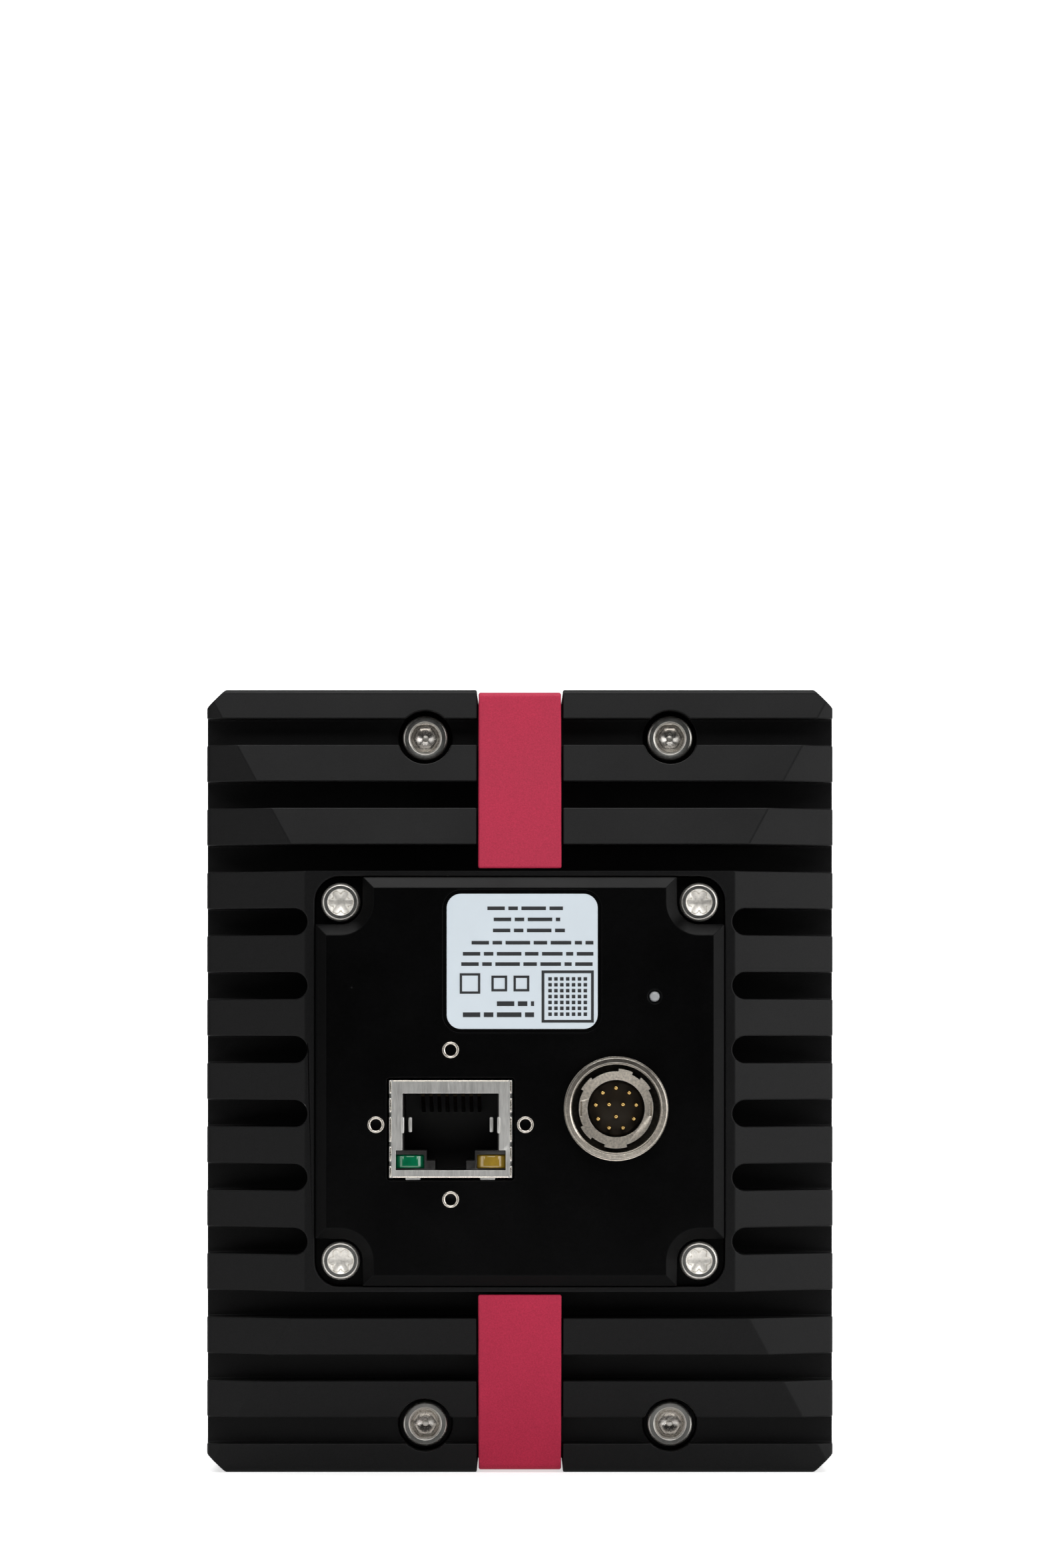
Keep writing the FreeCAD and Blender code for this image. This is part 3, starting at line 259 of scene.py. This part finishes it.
def circuitBoard(name):
    finish = Finish(name, Coat_Weight=0.3)
    lines = finish.node("ShaderNodeTexBrick", {"offset": 0.5}, {
        "Vector": finish.place(turn=(math.pi / 2, 0, 0)), "Scale": 260, "Mortar Size": 0.012,
        "Color1": (0, 0, 0), "Color2": (0.2, 0.2, 0.2), "Mortar": (1, 1, 1)})
    grain = finish.noise(700, 3.0)
    finish.set(Base_Color=finish.mix(lines, (0.008, 0.09, 0.04), (0.02, 0.19, 0.09)),
               Roughness=finish.ramp(grain, 0.3, 0.7, 0.3, 0.42), Normal=finish.bump(lines, 0.02 * mm, 0.3))
    return finish.material


def sensorDie(name):
    # fine grid of picture elements under a slightly iridescent coat
    finish = Finish(name, Coat_Weight=0.8, Coat_Roughness=0.05)
    grid = finish.node("ShaderNodeTexChecker", None, {
        "Vector": finish.place(), "Scale": 5000, "Color1": (0.02, 0.03, 0.06), "Color2": (0.05, 0.05, 0.09)})
    sheen = finish.noise(110, 2.0)
    finish.set(Base_Color=finish.mix(finish.ramp(sheen, 0.3, 0.7), grid, (0.05, 0.03, 0.08)), Roughness=0.18)
    return finish.material


finishes = {
    "black_anodised": blasted("blackAnodised", (0.0085, 0.0085, 0.0087), 0.4, 5200, 0.3, 0.1),
    "cover_black": blasted("coverBlack", (0.0012, 0.0012, 0.0013), 0.36, 7500, 0.12, 0.075, 0.2, 0.7),
    "red_inlay": blasted("redInlay", (0.45, 0.028, 0.067), 0.42, 5600, 0.1, 0.1, mottle=0.04),
    "dark_steel": bright("darkSteel", (0.12, 0.12, 0.125), 0.35),
    "screw_steel": bright("screwSteel", (0.66, 0.64, 0.61), 0.2),
    "nickel": bright("nickel", (0.78, 0.72, 0.64), 0.26, 9000, 0.8, 0.25),
    "tin_shield": brushed("tinShield", (0.79, 0.78, 0.75), 0.42, (9000, 9000, 500)),
    "gold": bright("gold", (0.83, 0.56, 0.2), 0.22),
    "black_moulding": moulded("blackMoulding", (0.012, 0.011, 0.0105), 0.4),
    "lamp_green": lampWindow("lampGreen", (0.0, 0.13, 0.052)),
    "lamp_amber": lampWindow("lampAmber", (0.3, 0.19, 0.022)),
    "clear_pipe": moulded("clearPipe", (0.38, 0.39, 0.4), 0.25, coat=0.5),
    "label_white": moulded("labelWhite", (0.75, 0.83, 0.89), 0.5, 2400, 0.004 * mm, 0.0, 0.3, 0.015),
    "rubber_seal": moulded("rubberSeal", (0.012, 0.012, 0.012), 0.7),
    "aluminium": brushed("aluminium", (0.72, 0.72, 0.72), 0.3, (2500, 2500, 2500)),
    "cap_black": moulded("capBlack", (0.016, 0.016, 0.017), 0.5, 2200, 0.03 * mm),
    "coated_glass": clearGlass("coatedGlass", (0.75, 0.9, 0.95)),
    "sensor_face": sensorDie("sensorFace"),
    "ceramic": moulded("ceramic", (0.76, 0.74, 0.7), 0.6),
    "cooler_element": bright("coolerElement", (0.4, 0.4, 0.42), 0.45),
    "kovar": bright("kovar", (0.78, 0.66, 0.4), 0.3),
    "copper": bright("copper", (0.85, 0.45, 0.28), 0.32),
    "circuit_board": circuitBoard("circuitBoard"),
    "chip_black": moulded("chipBlack", (0.02, 0.02, 0.021), 0.55),
    "thermal_pad": moulded("thermalPad", (0.4, 0.45, 0.5), 0.8),
    "ribbon": moulded("ribbon", (0.4, 0.2, 0.03), 0.3, coat=0.3),
}
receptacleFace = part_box("round_connector_shell")[0].y
# the receptacle shell: painted shade on its face, towards its top and in its groove; slopes for a slight cone
# in the bump
socketLook = {
    "centre": (12.15 * mm, 0, -3.4 * mm), "topShadeFade": 6.6 * mm,
    "topShadeLevel": 0.25, "faceShadeLevel": 0.7, "grooveShadeLevel": 0.1,
    "face": receptacleFace + 0.15 * mm, "step": receptacleFace + 0.6 * mm,
    "groove": receptacleFace + 1.6 * mm,
    "faceSlope": -0.1, "stepSlope": 0.2,
}
shadedNickel = bright("shadedNickel", (0.86, 0.78, 0.67), 0.33, 9000, 0.9, 0.3, socketLook)
# a brighter copy of the shell's nickel for its bevels: painted highlight on the edges
litEdgeNickel = bright("litEdgeNickel", (0.95, 0.9, 0.82), 0.25, 9000, 0.3)
# the jack's gold contacts painted nearly black: painted shade deep inside the jack
shadowPaintedGold = bright("shadowPaintedGold", (0.03, 0.023, 0.015), 0.5)
# a lighter copy of the screw steel for rims, chamfers and the drive floors: painted highlight
litSteelRim = bright("litSteelRim", (0.86, 0.83, 0.77), 0.42, 4000, 0.5)
# a brighter, warmer copy of the shield metal for its rolled edges: painted highlight
litFoldEdge = bright("litFoldEdge", (0.9, 0.84, 0.74), 0.22, 5000, 0.3)
darkInsert = moulded("darkInsert", (0.045, 0.038, 0.03), 0.4)
printInk = moulded("printInk", (0.035, 0.037, 0.04), 0.5, specular=0.3)
# a darker copy of the screw steel for the flat faces of the heads: painted shade
shadedSteelFace = bright("shadedSteelFace", (0.2, 0.2, 0.19), 0.38)
dishSteel = bright("dishSteel", (0.7, 0.67, 0.63), 0.22, 3500, 0.3)
greyMoulding = moulded("greyMoulding", (0.035, 0.035, 0.037), 0.35)
for name, part in nodes.items():
    part.data.materials.clear()
    part.data.materials.append(finishes[slotOf[name]])
print("finishes made:", len(finishes))


# shaping helpers: shapes are drawn in millimetres

def bodyOf(name):
    return next(body for body, empty in frame["bodies"].items() if nodes[name].parent == empty)


def markEdges(bm, sharp):
    for face in bm.faces:
        face.smooth = True
    for edge in bm.edges:
        edge.smooth = len(edge.link_faces) == 2 and edge.calc_face_angle(0) < math.radians(sharp)


def finishPiece(name, bm, slot, body="camera_body", cad=(), finish=None, sharp=32, size=mm):
    bmesh.ops.scale(bm, vec=(size, size, size), verts=bm.verts)
    if size == mm:
        bmesh.ops.recalc_face_normals(bm, faces=bm.faces)
    markEdges(bm, sharp)
    mesh = bpy.data.meshes.new(name)
    bm.to_mesh(mesh)
    bm.free()
    piece = bpy.data.objects.new(name, mesh)
    bpy.context.scene.collection.objects.link(piece)
    for material in finish or [finishes[slot]]:
        mesh.materials.append(material)
    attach(piece, body)
    if cad:
        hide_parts(*cad)
    return piece


def softened(node, width, segments=2, angle=28, finish=None, clamp=True):
    # the CAD shape with every sharp edge broken by a small bevel
    bm = bmesh.new()
    bm.from_mesh(nodes[node].data)
    bmesh.ops.remove_doubles(bm, verts=bm.verts, dist=0.001 * mm)
    bmesh.ops.dissolve_limit(bm, angle_limit=math.radians(0.6), verts=bm.verts, edges=bm.edges)
    piece = finishPiece(node + "_soft", bm, slotOf[node], bodyOf(node), [node], finish, angle, 1)
    rounding = piece.modifiers.new("rounding", "BEVEL")
    rounding.width, rounding.segments = width * mm, segments
    rounding.limit_method, rounding.angle_limit = "ANGLE", math.radians(angle)
    rounding.use_clamp_overlap = clamp
    rounding.miter_outer = "MITER_ARC"
    rounding.harden_normals = True
    rounding.material = len(finish) - 1 if finish else -1
    return piece


def plain(angle):
    return 1.0


def hexagon(angle):
    sector = math.pi / 3
    return math.cos(sector / 2) / math.cos(angle % sector - sector / 2)


def softHexagon(angle):
    return 0.5 + 0.5 * hexagon(angle)


def sixLobes(angle):
    return 1 + 0.15 * math.cos(6 * angle) - 0.03 * math.cos(12 * angle)


def turnedStack(bm, rings, place, facing=-1, segments=72):
    # closed body of rings (radius, depth below the face, outline, material) about a line along Y
    loops = []
    for radius, depth, outline, _ in rings:
        loop = bmesh.ops.create_circle(bm, cap_ends=False, radius=1, segments=segments)["verts"]
        for vert in loop:
            angle = math.atan2(vert.co.y, vert.co.x)
            reach = radius * outline(angle)
            vert.co = (place[0] + reach * math.cos(angle), place[1] - facing * depth,
                       place[2] + reach * math.sin(angle))
        loops.append(loop)
    for (first, second), ring in zip(zip(loops, loops[1:]), rings[1:]):
        for index in range(segments):
            after = (index + 1) % segments
            bm.faces.new((first[index], first[after], second[after], second[index])).material_index = ring[3]
    bm.faces.new(loops[0])
    bm.faces.new(loops[-1]).material_index = rings[-1][3]


def slab(bm, across, along, upward, bevel=0.0, segments=2):
    made = bmesh.ops.create_cube(bm, size=1)
    spans = (across, along, upward)
    for vert in made["verts"]:
        vert.co = [low + (high - low) * (value + 0.5) for value, (low, high) in zip(vert.co, spans)]
    if bevel:
        edges = list(dict.fromkeys(edge for vert in made["verts"] for edge in vert.link_edges))
        bmesh.ops.bevel(bm, geom=edges, affect="EDGES", offset=bevel, segments=segments, profile=0.5,
                        material=-1, clamp_overlap=True)


def edgeOf(node, axis, high=False):
    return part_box(node)[1 if high else 0][axis] / mm


# body

softEdges = {
    "rear_housing": (0.18, 2), "front_housing": (0.3, 2), "front_plate": (0.3, 2), "rear_cover": (0.08, 2),
    "red_strip_top": (0.25, 3), "red_strip_bottom": (0.25, 3), "rj45_shield": (0.07, 2),
    "round_connector_shell": (0.1, 2), "dust_cap": (0.2, 2), "lens_mount_ring": (0.15, 2),
    "rj45_insulator": (0.08, 1), "rj45_contacts": (0.04, 1), "lens_mount_lock_screws": (0.1, 2),
    "label": (0.05, 2), "window_retaining_ring": (0.08, 2), "sensor_package": (0.15, 2),
}
# the receptacle shell takes painted shade on its faces and a painted highlight on its bevels; the jack
# contacts take painted shade
ownFinish = {"round_connector_shell": [shadedNickel, litEdgeNickel], "rj45_contacts": [shadowPaintedGold]}
wideBevels = ("rear_housing", "rear_cover")  # their fins and pockets would stop a clamped bevel
for name, (width, segments) in softEdges.items():
    softened(name, width, segments, finish=ownFinish.get(name), clamp=name not in wideBevels)
print("body softened:", len(softEdges))


# housing screws: bright socket heads with a dished socket; rims go inwards from the head's side

boltLook = {
    "across": (-12.1, 19.2), "up": 43.85, "length": 25, "shaft": 1.45, "head": 2.86, "height": 3.0,
    "rim": [(0, 0.3, 2), (0.1, 0.1, 2), (0.24, 0, 2), (0.28, 0, 1)],
    "drive": [(2.12, 0, plain, 1), (2.08, 0.02, plain, 2), (1.84, 0.24, plain, 2),
              (1.8, 0.5, softHexagon, 3), (1.7, 0.9, softHexagon, 3), (1.45, 1.25, plain, 3),
              (1.1, 1.52, plain, 3), (0.75, 1.72, plain, 3), (0.42, 1.86, plain, 3),
              (0.36, 1.8, plain, 2), (0.05, 1.8, plain, 2)],
}
frontBolt = {"inset": 2.85, "length": 14}


def screwHead(bm, look, place, facing, length):
    shaft, head, height = look["shaft"], look["head"], look["height"]
    rings = [(shaft, height + length, plain, 0), (shaft, height, plain, 0), (head, height, plain, 0)]
    rings += [(head - inward, depth, plain, metal) for inward, depth, metal in look["rim"]]
    turnedStack(bm, rings + look["drive"], place, facing)


bm = bmesh.new()
for across in boltLook["across"]:
    for up in (boltLook["up"], -boltLook["up"]):
        screwHead(bm, boltLook, (across, edgeOf("housing_screws", 1), up), -1, boltLook["length"])
# flat faces in the darker copy and rims in the lighter copy of the steel: painted shade and painted highlight
screwFinish = [finishes["screw_steel"], shadedSteelFace, litSteelRim, dishSteel]
finishPiece("housing_screw_heads", bm, "screw_steel", cad=["housing_screws"], sharp=50, finish=screwFinish)

bm = bmesh.new()
low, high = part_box("front_plate_screws")
for across in (low.x / mm + frontBolt["inset"], high.x / mm - frontBolt["inset"]):
    for up in (low.z / mm + frontBolt["inset"], high.z / mm - frontBolt["inset"]):
        screwHead(bm, boltLook, (across, high.y / mm, up), 1, frontBolt["length"])
finishPiece("front_screw_heads", bm, "dark_steel", cad=["front_plate_screws"], sharp=50,
            finish=[finishes["dark_steel"]] * 4)


# cover screws: pan heads with a six-lobed drive

coverScrew = {
    "spot": 22.7, "length": 8, "shaft": 1.2, "head": 2.45, "height": 1.75,
    "rim": [(0, 0.5, 2), (0.08, 0.24, 2), (0.24, 0.06, 2), (0.36, 0, 2), (0.4, 0, 1)],
    "drive": [(1.7, 0, plain, 1), (1.66, 0.0, plain, 2), (1.58, 0.06, plain, 2),
              (1.43, 0.1, sixLobes, 2), (1.36, 0.16, sixLobes, 2), (1.32, 0.5, sixLobes, 0),
              (1.0, 0.62, plain, 2), (0.5, 0.74, plain, 2), (0.05, 0.8, plain, 2)],
}
bm = bmesh.new()
for across in (-coverScrew["spot"], coverScrew["spot"]):
    for up in (-coverScrew["spot"], coverScrew["spot"]):
        place = (across, edgeOf("rear_cover_screws", 1), up)
        screwHead(bm, coverScrew, place, -1, coverScrew["length"])
finishPiece("cover_screw_heads", bm, "screw_steel", cad=["rear_cover_screws"], sharp=50, finish=screwFinish)


# lock screw inserts: bright collars round a threaded bore

insert = {"radius": 1.095, "chamfer": 0.1, "bore": 0.72, "length": 5.4, "pitch": 0.35, "thread": 0.12,
          "start": 0.16, "turns": 10}
bm = bmesh.new()
low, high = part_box("lock_screw_inserts")
centre, spread = (low + high) / 2 / mm, (high.x - low.x) / 2 / mm - insert["radius"]
for side, rise in ((1, 0), (-1, 0), (0, 1), (0, -1)):
    root = insert["bore"] + insert["thread"]
    rings = [(insert["radius"], insert["length"], plain, 0), (insert["radius"], insert["chamfer"], plain, 0),
             (insert["radius"] - insert["chamfer"], 0, plain, 0), (root, 0, plain, 0),
             (insert["bore"], insert["thread"], plain, 0)]
    for turn in range(insert["turns"]):
        start = insert["start"] + turn * insert["pitch"]
        rings += [(root, start + insert["pitch"] / 2, plain, 1),
                  (insert["bore"], start + insert["pitch"], plain, 1)]
    turnedStack(bm, rings, (centre.x + side * spread, low.y / mm, centre.z + rise * spread), segments=48)
finishPiece("lock_insert_collars", bm, "nickel", cad=["lock_screw_inserts"], sharp=50,
            finish=[finishes["nickel"], finishes["dark_steel"]])
print("screws and inserts built")


# network jack: spring tabs, lamp frames and domed lamp windows

jack = {"across": -8.75, "up": -6.0, "mouth": 6.1, "side": 7.8, "bottom": 6.2}
spring = {"up": 0.5, "reach": 1.05, "outward": 0.18, "inward": 0.22, "depth": (-0.12, 2.2), "round": 0.15,
          "innerGap": 0.7, "innerWidth": 0.48, "innerDepth": (2.6, 3.6), "innerTrim": 0.1, "innerRound": 0.12}
jackFace = edgeOf("rj45_shield", 1)
shieldTop = edgeOf("rj45_shield", 2, True)


def fromFace(depth):
    return jackFace + depth[0], jackFace + depth[1]


bm = bmesh.new()
low, high = (jack["up"] + spring["up"] + sign * spring["reach"] for sign in (-1, 1))
for side in (-1, 1):
    edge = jack["across"] + side * jack["mouth"]
    across = sorted((edge + side * spring["outward"], edge - side * spring["inward"]))
    slab(bm, across, fromFace(spring["depth"]), (low, high), spring["round"], 3)
    inner = edge - side * spring["innerGap"]
    slab(bm, sorted((inner, inner - side * spring["innerWidth"])), fromFace(spring["innerDepth"]),
         (low + spring["innerTrim"], high - spring["innerTrim"]), spring["innerRound"])
finishPiece("jack_spring_tabs", bm, "tin_shield")

# rolled outer edges of the shield, broken by small notches on the two sides
fold = {"width": 0.4, "height": 0.26, "depth": 0.9, "proud": (-0.03, -0.02), "overlap": 0.01,
        "sideRound": 0.19, "endRound": 0.12, "notch": 0.28, "notches": (4.2, 1.81, -1.93, -4.39)}
bottom = jack["up"] - jack["bottom"]
stops = [shieldTop, *(jack["up"] + place for place in fold["notches"]), bottom]
bm = bmesh.new()
for index, (upper, lower) in enumerate(zip(stops, stops[1:])):
    below = fold["notch"] if index < len(fold["notches"]) else 0
    above = fold["notch"] if index else 0
    for side in (-1, 1):
        edge = jack["across"] + side * jack["side"]
        across = sorted((edge + side * fold["overlap"], edge - side * fold["width"]))
        slab(bm, across, fromFace((fold["proud"][0], fold["depth"])), (lower + below, upper - above),
             fold["sideRound"], 4)
ends = (edgeOf("rj45_shield", 0) + fold["width"], edgeOf("rj45_shield", 0, True) - fold["width"])
for upper in (shieldTop + fold["overlap"], bottom + fold["height"] - fold["overlap"]):
    slab(bm, ends, fromFace((fold["proud"][1], fold["depth"])), (upper - fold["height"], upper),
         fold["endRound"], 4)
# the rolled edges take the lighter copy of the shield metal: painted highlight
finishPiece("jack_rolled_edges", bm, "tin_shield", finish=[litFoldEdge], sharp=40)

lampFrame = {
    "lid": {"depth": (0.8, 3), "up": (0.22, 0.55), "round": 0.05},
    "wall": {"depth": (0.6, 3), "across": (0.06, 0.22), "foot": 0.25, "round": 0.05},
    "foot": {"depth": (1.2, 3.5), "across": (0.22, 1.3), "up": (-0.4, 0.95), "round": 0.06},
}
bm = bmesh.new()
for side, node in ((-1, "rj45_led_green"), (1, "rj45_led_yellow")):
    low, high = (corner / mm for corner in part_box(node))
    inner = high.x if side < 0 else low.x
    lid, wall, foot = lampFrame["lid"], lampFrame["wall"], lampFrame["foot"]
    slab(bm, (low.x, high.x), fromFace(lid["depth"]), [high.z + rise for rise in lid["up"]], lid["round"])
    slab(bm, sorted(inner - side * step for step in wall["across"]), fromFace(wall["depth"]),
         (low.z - wall["foot"], high.z + lid["up"][1]), wall["round"])
    slab(bm, sorted(inner - side * step for step in foot["across"]), fromFace(foot["depth"]),
         [low.z + rise for rise in foot["up"]], foot["round"])
finishPiece("jack_lamp_frames", bm, "black_moulding", finish=[greyMoulding])

dome = {"base": 0.7, "edge": 0.05, "height": 0.9, "curve": 0.85, "droop": 0.04, "reach": 0.49, "sunk": 0.02}


def lampDome(node):
    # a window curved about the vertical, rounded off at its border
    low, high = (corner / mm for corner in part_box(node))
    middle, span = (low + high) / 2, (high - low) * dome["reach"]
    base = low.y + dome["base"]
    bm = bmesh.new()
    slab(bm, (low.x, high.x), (base, high.y), (low.z, high.z), dome["edge"])
    grid = bmesh.ops.create_grid(bm, x_segments=32, y_segments=20, size=1)
    for vert in grid["verts"]:
        u, v = vert.co.x, vert.co.y
        border = (1 - u ** 16) * (1 - v ** 12)
        rise = (1 - dome["curve"] * u * u) * (1 - dome["droop"] * v * v) * border ** 0.4
        vert.co = (middle.x + u * span.x, base - dome["sunk"] - dome["height"] * rise, middle.z + v * span.z)
    finishPiece(node + "_dome", bm, slotOf[node], cad=[node], sharp=60)


lampDome("rj45_led_green")
lampDome("rj45_led_yellow")
print("network jack dressed")


# round receptacle: insert with a rim groove and pins with rounded tips

receptacle = {
    "across": 12.15, "up": -3.4, "pin": 0.275, "outer": 2.6, "outerPins": 9, "inner": 1.02, "innerPins": 3,
    "insert": [(3.62, 0.3), (3.5, 0.12), (3.3, 0.02), (3.24, 0.0), (0.01, 0.0)],
    "tip": [(1, 0.28), (0.92, 0.14), (0.7, 0.05), (0.35, 0.0)],
}


def turnedPart(bm, profile, length, place, segments=72, size=1):
    # a part turned about its axis: its full length first, then its rounded end
    rings = [(profile[0][0] * size, length, plain, 0)]
    rings += [(radius * size, depth, plain, 0) for radius, depth in profile]
    turnedStack(bm, rings, place, segments=segments)


def spanOf(node):
    face, back = edgeOf(node, 1), edgeOf(node, 1, True)
    return face, back - face


face, length = spanOf("round_connector_insert")
bm = bmesh.new()
turnedPart(bm, receptacle["insert"], length, (receptacle["across"], face, receptacle["up"]))
finishPiece("receptacle_insert", bm, "black_moulding", cad=["round_connector_insert"], finish=[darkInsert])

face, length = spanOf("round_connector_pins")
spots = [(receptacle["outer"], math.radians(90 + step * 360 / receptacle["outerPins"]))
         for step in range(receptacle["outerPins"])]
spots += [(receptacle["inner"], math.radians(30 + step * 360 / receptacle["innerPins"]))
          for step in range(receptacle["innerPins"])]
bm = bmesh.new()
for reach, turn in spots:
    spot = (receptacle["across"] + reach * math.cos(turn), face, receptacle["up"] + reach * math.sin(turn))
    turnedPart(bm, receptacle["tip"], length, spot, 24, receptacle["pin"])
finishPiece("receptacle_pins", bm, "gold", cad=["round_connector_pins"], sharp=60)


# light pipe: a domed end in a dark ring

lightPipe = [(0.67, 0.3), (0.6, 0.12), (0.42, 0.03), (0.15, 0.0)]
low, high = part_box("status_light_pipe")
middle = (low + high) / 2 / mm
face, length = spanOf("status_light_pipe")
bm = bmesh.new()
turnedPart(bm, lightPipe, length, (middle.x, face, middle.z), 48)
finishPiece("light_pipe_dome", bm, "clear_pipe", cad=["status_light_pipe"], sharp=60)
print("receptacle and light pipe dressed")


# label print: generic dashes in rows, no words or marks

label = {
    "thick": 0.02, "words": (2.2, 1.2, 3.1, 1.7, 2.6, 0.9), "gap": 0.45, "shortest": 0.3,
    # height above the middle, height of the dashes, first and last place across
    "rows": [(6.7, 0.45, -4.4, 5.6), (5.3, 0.45, -3.6, 4.8), (3.9, 0.45, -3.7, 5.4),
             (2.35, 0.45, -6.4, 9.0), (0.95, 0.45, -7.5, 9.0), (-0.35, 0.45, -7.7, 9.0),
             (-5.35, 0.6, -3.2, 1.5), (-6.75, 0.6, -7.5, 1.5)],
    "frames": [(-6.6, -2.8, 2.6), (-2.9, -2.8, 2.0), (-0.1, -2.8, 2.0)], "frameLine": 0.3,
    "code": (5.75, -4.45, 6.6), "codeLine": 0.35, "margin": 0.7, "cells": 7, "dot": 0.6,
}
bm = bmesh.new()
low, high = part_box("label")
centre = (low + high) / 2 / mm
ink = (low.y / mm - label["thick"], low.y / mm + label["thick"])


def printBar(start, end, bottom, top):
    slab(bm, (centre.x + start, centre.x + end), ink, (centre.z + bottom, centre.z + top))


def printFrame(across, up, side, line):
    reach = side / 2
    for sign in (-1, 1):
        printBar(*sorted((across + sign * reach, across + sign * (reach - line))), up - reach, up + reach)
        printBar(across - reach + line, across + reach - line,
                 *sorted((up + sign * reach, up + sign * (reach - line))))


for up, height, start, end in label["rows"]:
    word = 0
    while start < end - label["shortest"]:
        stop = min(end, start + label["words"][word % len(label["words"])])
        printBar(start, stop, up - height / 2, up + height / 2)
        start = stop + label["gap"]
        word += 1
for across, up, side in label["frames"]:
    printFrame(across, up, side, label["frameLine"])
across, up, side = label["code"]
printFrame(across, up, side, label["codeLine"])
cell, corner = (side - 2 * label["margin"]) / label["cells"], side / 2 - label["margin"]
border = (1 - label["dot"]) / 2
for row in range(label["cells"]):
    for column in range(label["cells"]):
        left = across - corner + cell * (column + border)
        foot = up - corner + cell * (row + border)
        printBar(left, left + cell * label["dot"], foot, foot + cell * label["dot"])
finishPiece("label_print", bm, "label_white", finish=[printInk])
print("label printed")


# stage, camera, lights

stage = {"floor": -50.03 * mm, "front": -0.27, "back": 0.75, "side": 1.6, "sweep": 0.5, "rise": 0.15,
         "glow": 0.16, "cameraGlow": 0.65, "room": 0.03, "target": (0, -0.05, 0)}
softboxes = {
    # place, size and power
    "topBox": ((0.0, -0.72, 0.62), (0.7, 0.4), 3.2),
    "rightBox": ((0.85, -0.3, 0.15), (0.75, 0.9), 6.1),
    "leftBox": ((-0.85, -0.5, 0.15), (0.35, 0.9), 1.4),
    "leftStrip": ((-0.7, -0.72, 0.3), (0.1, 0.6), 0.45),
    "rightStrip": ((0.7, -0.72, 0.3), (0.1, 0.6), 0.5),
}
view = {"distance": 0.785, "height": 6.6 * mm, "lens": 142.4, "shiftX": 0.0017, "shiftY": 0.1565}


def makeStage():
    bm = bmesh.new()
    bmesh.ops.create_grid(bm, x_segments=1, y_segments=1, size=1)
    front = [vert for vert in bm.verts if vert.co.y < 0]
    back = [vert for vert in bm.verts if vert.co.y > 0]
    for vert in bm.verts:
        vert.co.x *= stage["side"]
        vert.co.z = stage["floor"]
    for vert in front:
        vert.co.y = stage["front"]
    for vert in back:
        vert.co.y = stage["back"]
    edge = next(item for item in bm.edges if all(vert in back for vert in item.verts))
    swept = bmesh.ops.spin(bm, geom=[edge, *edge.verts], angle=math.pi / 2, steps=16, axis=(1, 0, 0),
                           cent=(0, stage["back"], stage["floor"] + stage["sweep"]))
    last = [item for item in swept["geom_last"] if isinstance(item, bmesh.types.BMEdge)]
    up = bmesh.ops.extrude_edge_only(bm, edges=last)
    for item in up["geom"]:
        if isinstance(item, bmesh.types.BMVert):
            item.co.z += stage["rise"]
    for face in bm.faces:
        face.smooth = True
    bmesh.ops.recalc_face_normals(bm, faces=bm.faces)
    mesh = bpy.data.meshes.new("studioFloor")
    bm.to_mesh(mesh)
    bm.free()
    floor = bpy.data.objects.new("studioFloor", mesh)
    bpy.context.scene.collection.objects.link(floor)
    # the paper glows more to the camera than to the object, so that it stays plain white beside the base
    paper = Finish("paleFloor", Base_Color=(0.8, 0.8, 0.8), Roughness=0.8, Emission_Strength=1.0)
    seen = paper.node("ShaderNodeLightPath")
    paper.set(Emission_Color=paper.mix(seen, (stage["glow"],) * 3, (stage["cameraGlow"],) * 3))
    mesh.materials.append(paper.material)


def softbox(name, place, size, power, target=stage["target"]):
    light = bpy.data.lights.new(name, "AREA")
    light.shape, light.size, light.size_y, light.energy = "RECTANGLE", size[0], size[1], power
    lamp = bpy.data.objects.new(name, light)
    bpy.context.scene.collection.objects.link(lamp)
    lamp.location = place
    lamp.rotation_euler = (Vector(target) - Vector(place)).to_track_quat("-Z", "Y").to_euler()


def makeCamera():
    data = bpy.data.cameras.new("photoCamera")
    data.sensor_width = 36
    data.lens, data.shift_x, data.shift_y = view["lens"], view["shiftX"], view["shiftY"]
    camera = bpy.data.objects.new("photoCamera", data)
    bpy.context.scene.collection.objects.link(camera)
    camera.location = (0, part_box("rear_housing")[0].y - view["distance"], view["height"])
    camera.rotation_euler = (math.pi / 2, 0, 0)
    bpy.context.scene.camera = camera


def makeRoom():
    # a dim room that the camera sees as plain white
    world = bpy.data.worlds.new("studio")
    bpy.context.scene.world = world
    world.use_nodes = True
    tree = world.node_tree
    backdrop = tree.nodes["Background"]
    backdrop.inputs[0].default_value = (1, 1, 1, 1)
    seen = tree.nodes.new("ShaderNodeLightPath")
    strength = tree.nodes.new("ShaderNodeMapRange")
    strength.inputs["To Min"].default_value = stage["room"]
    strength.inputs["To Max"].default_value = 1.0
    tree.links.new(seen.outputs["Is Camera Ray"], strength.inputs["Value"])
    tree.links.new(strength.outputs["Result"], backdrop.inputs[1])


makeStage()
makeCamera()
for name, settings in softboxes.items():
    softbox(name, *settings)
softbox("backWash", (0, 0.1, 1.3), (1.6, 0.5), 20, (0, 0.9, 0.2))
makeRoom()
bpy.context.scene.view_settings.view_transform = "Standard"
print("stage, camera and lights ready")
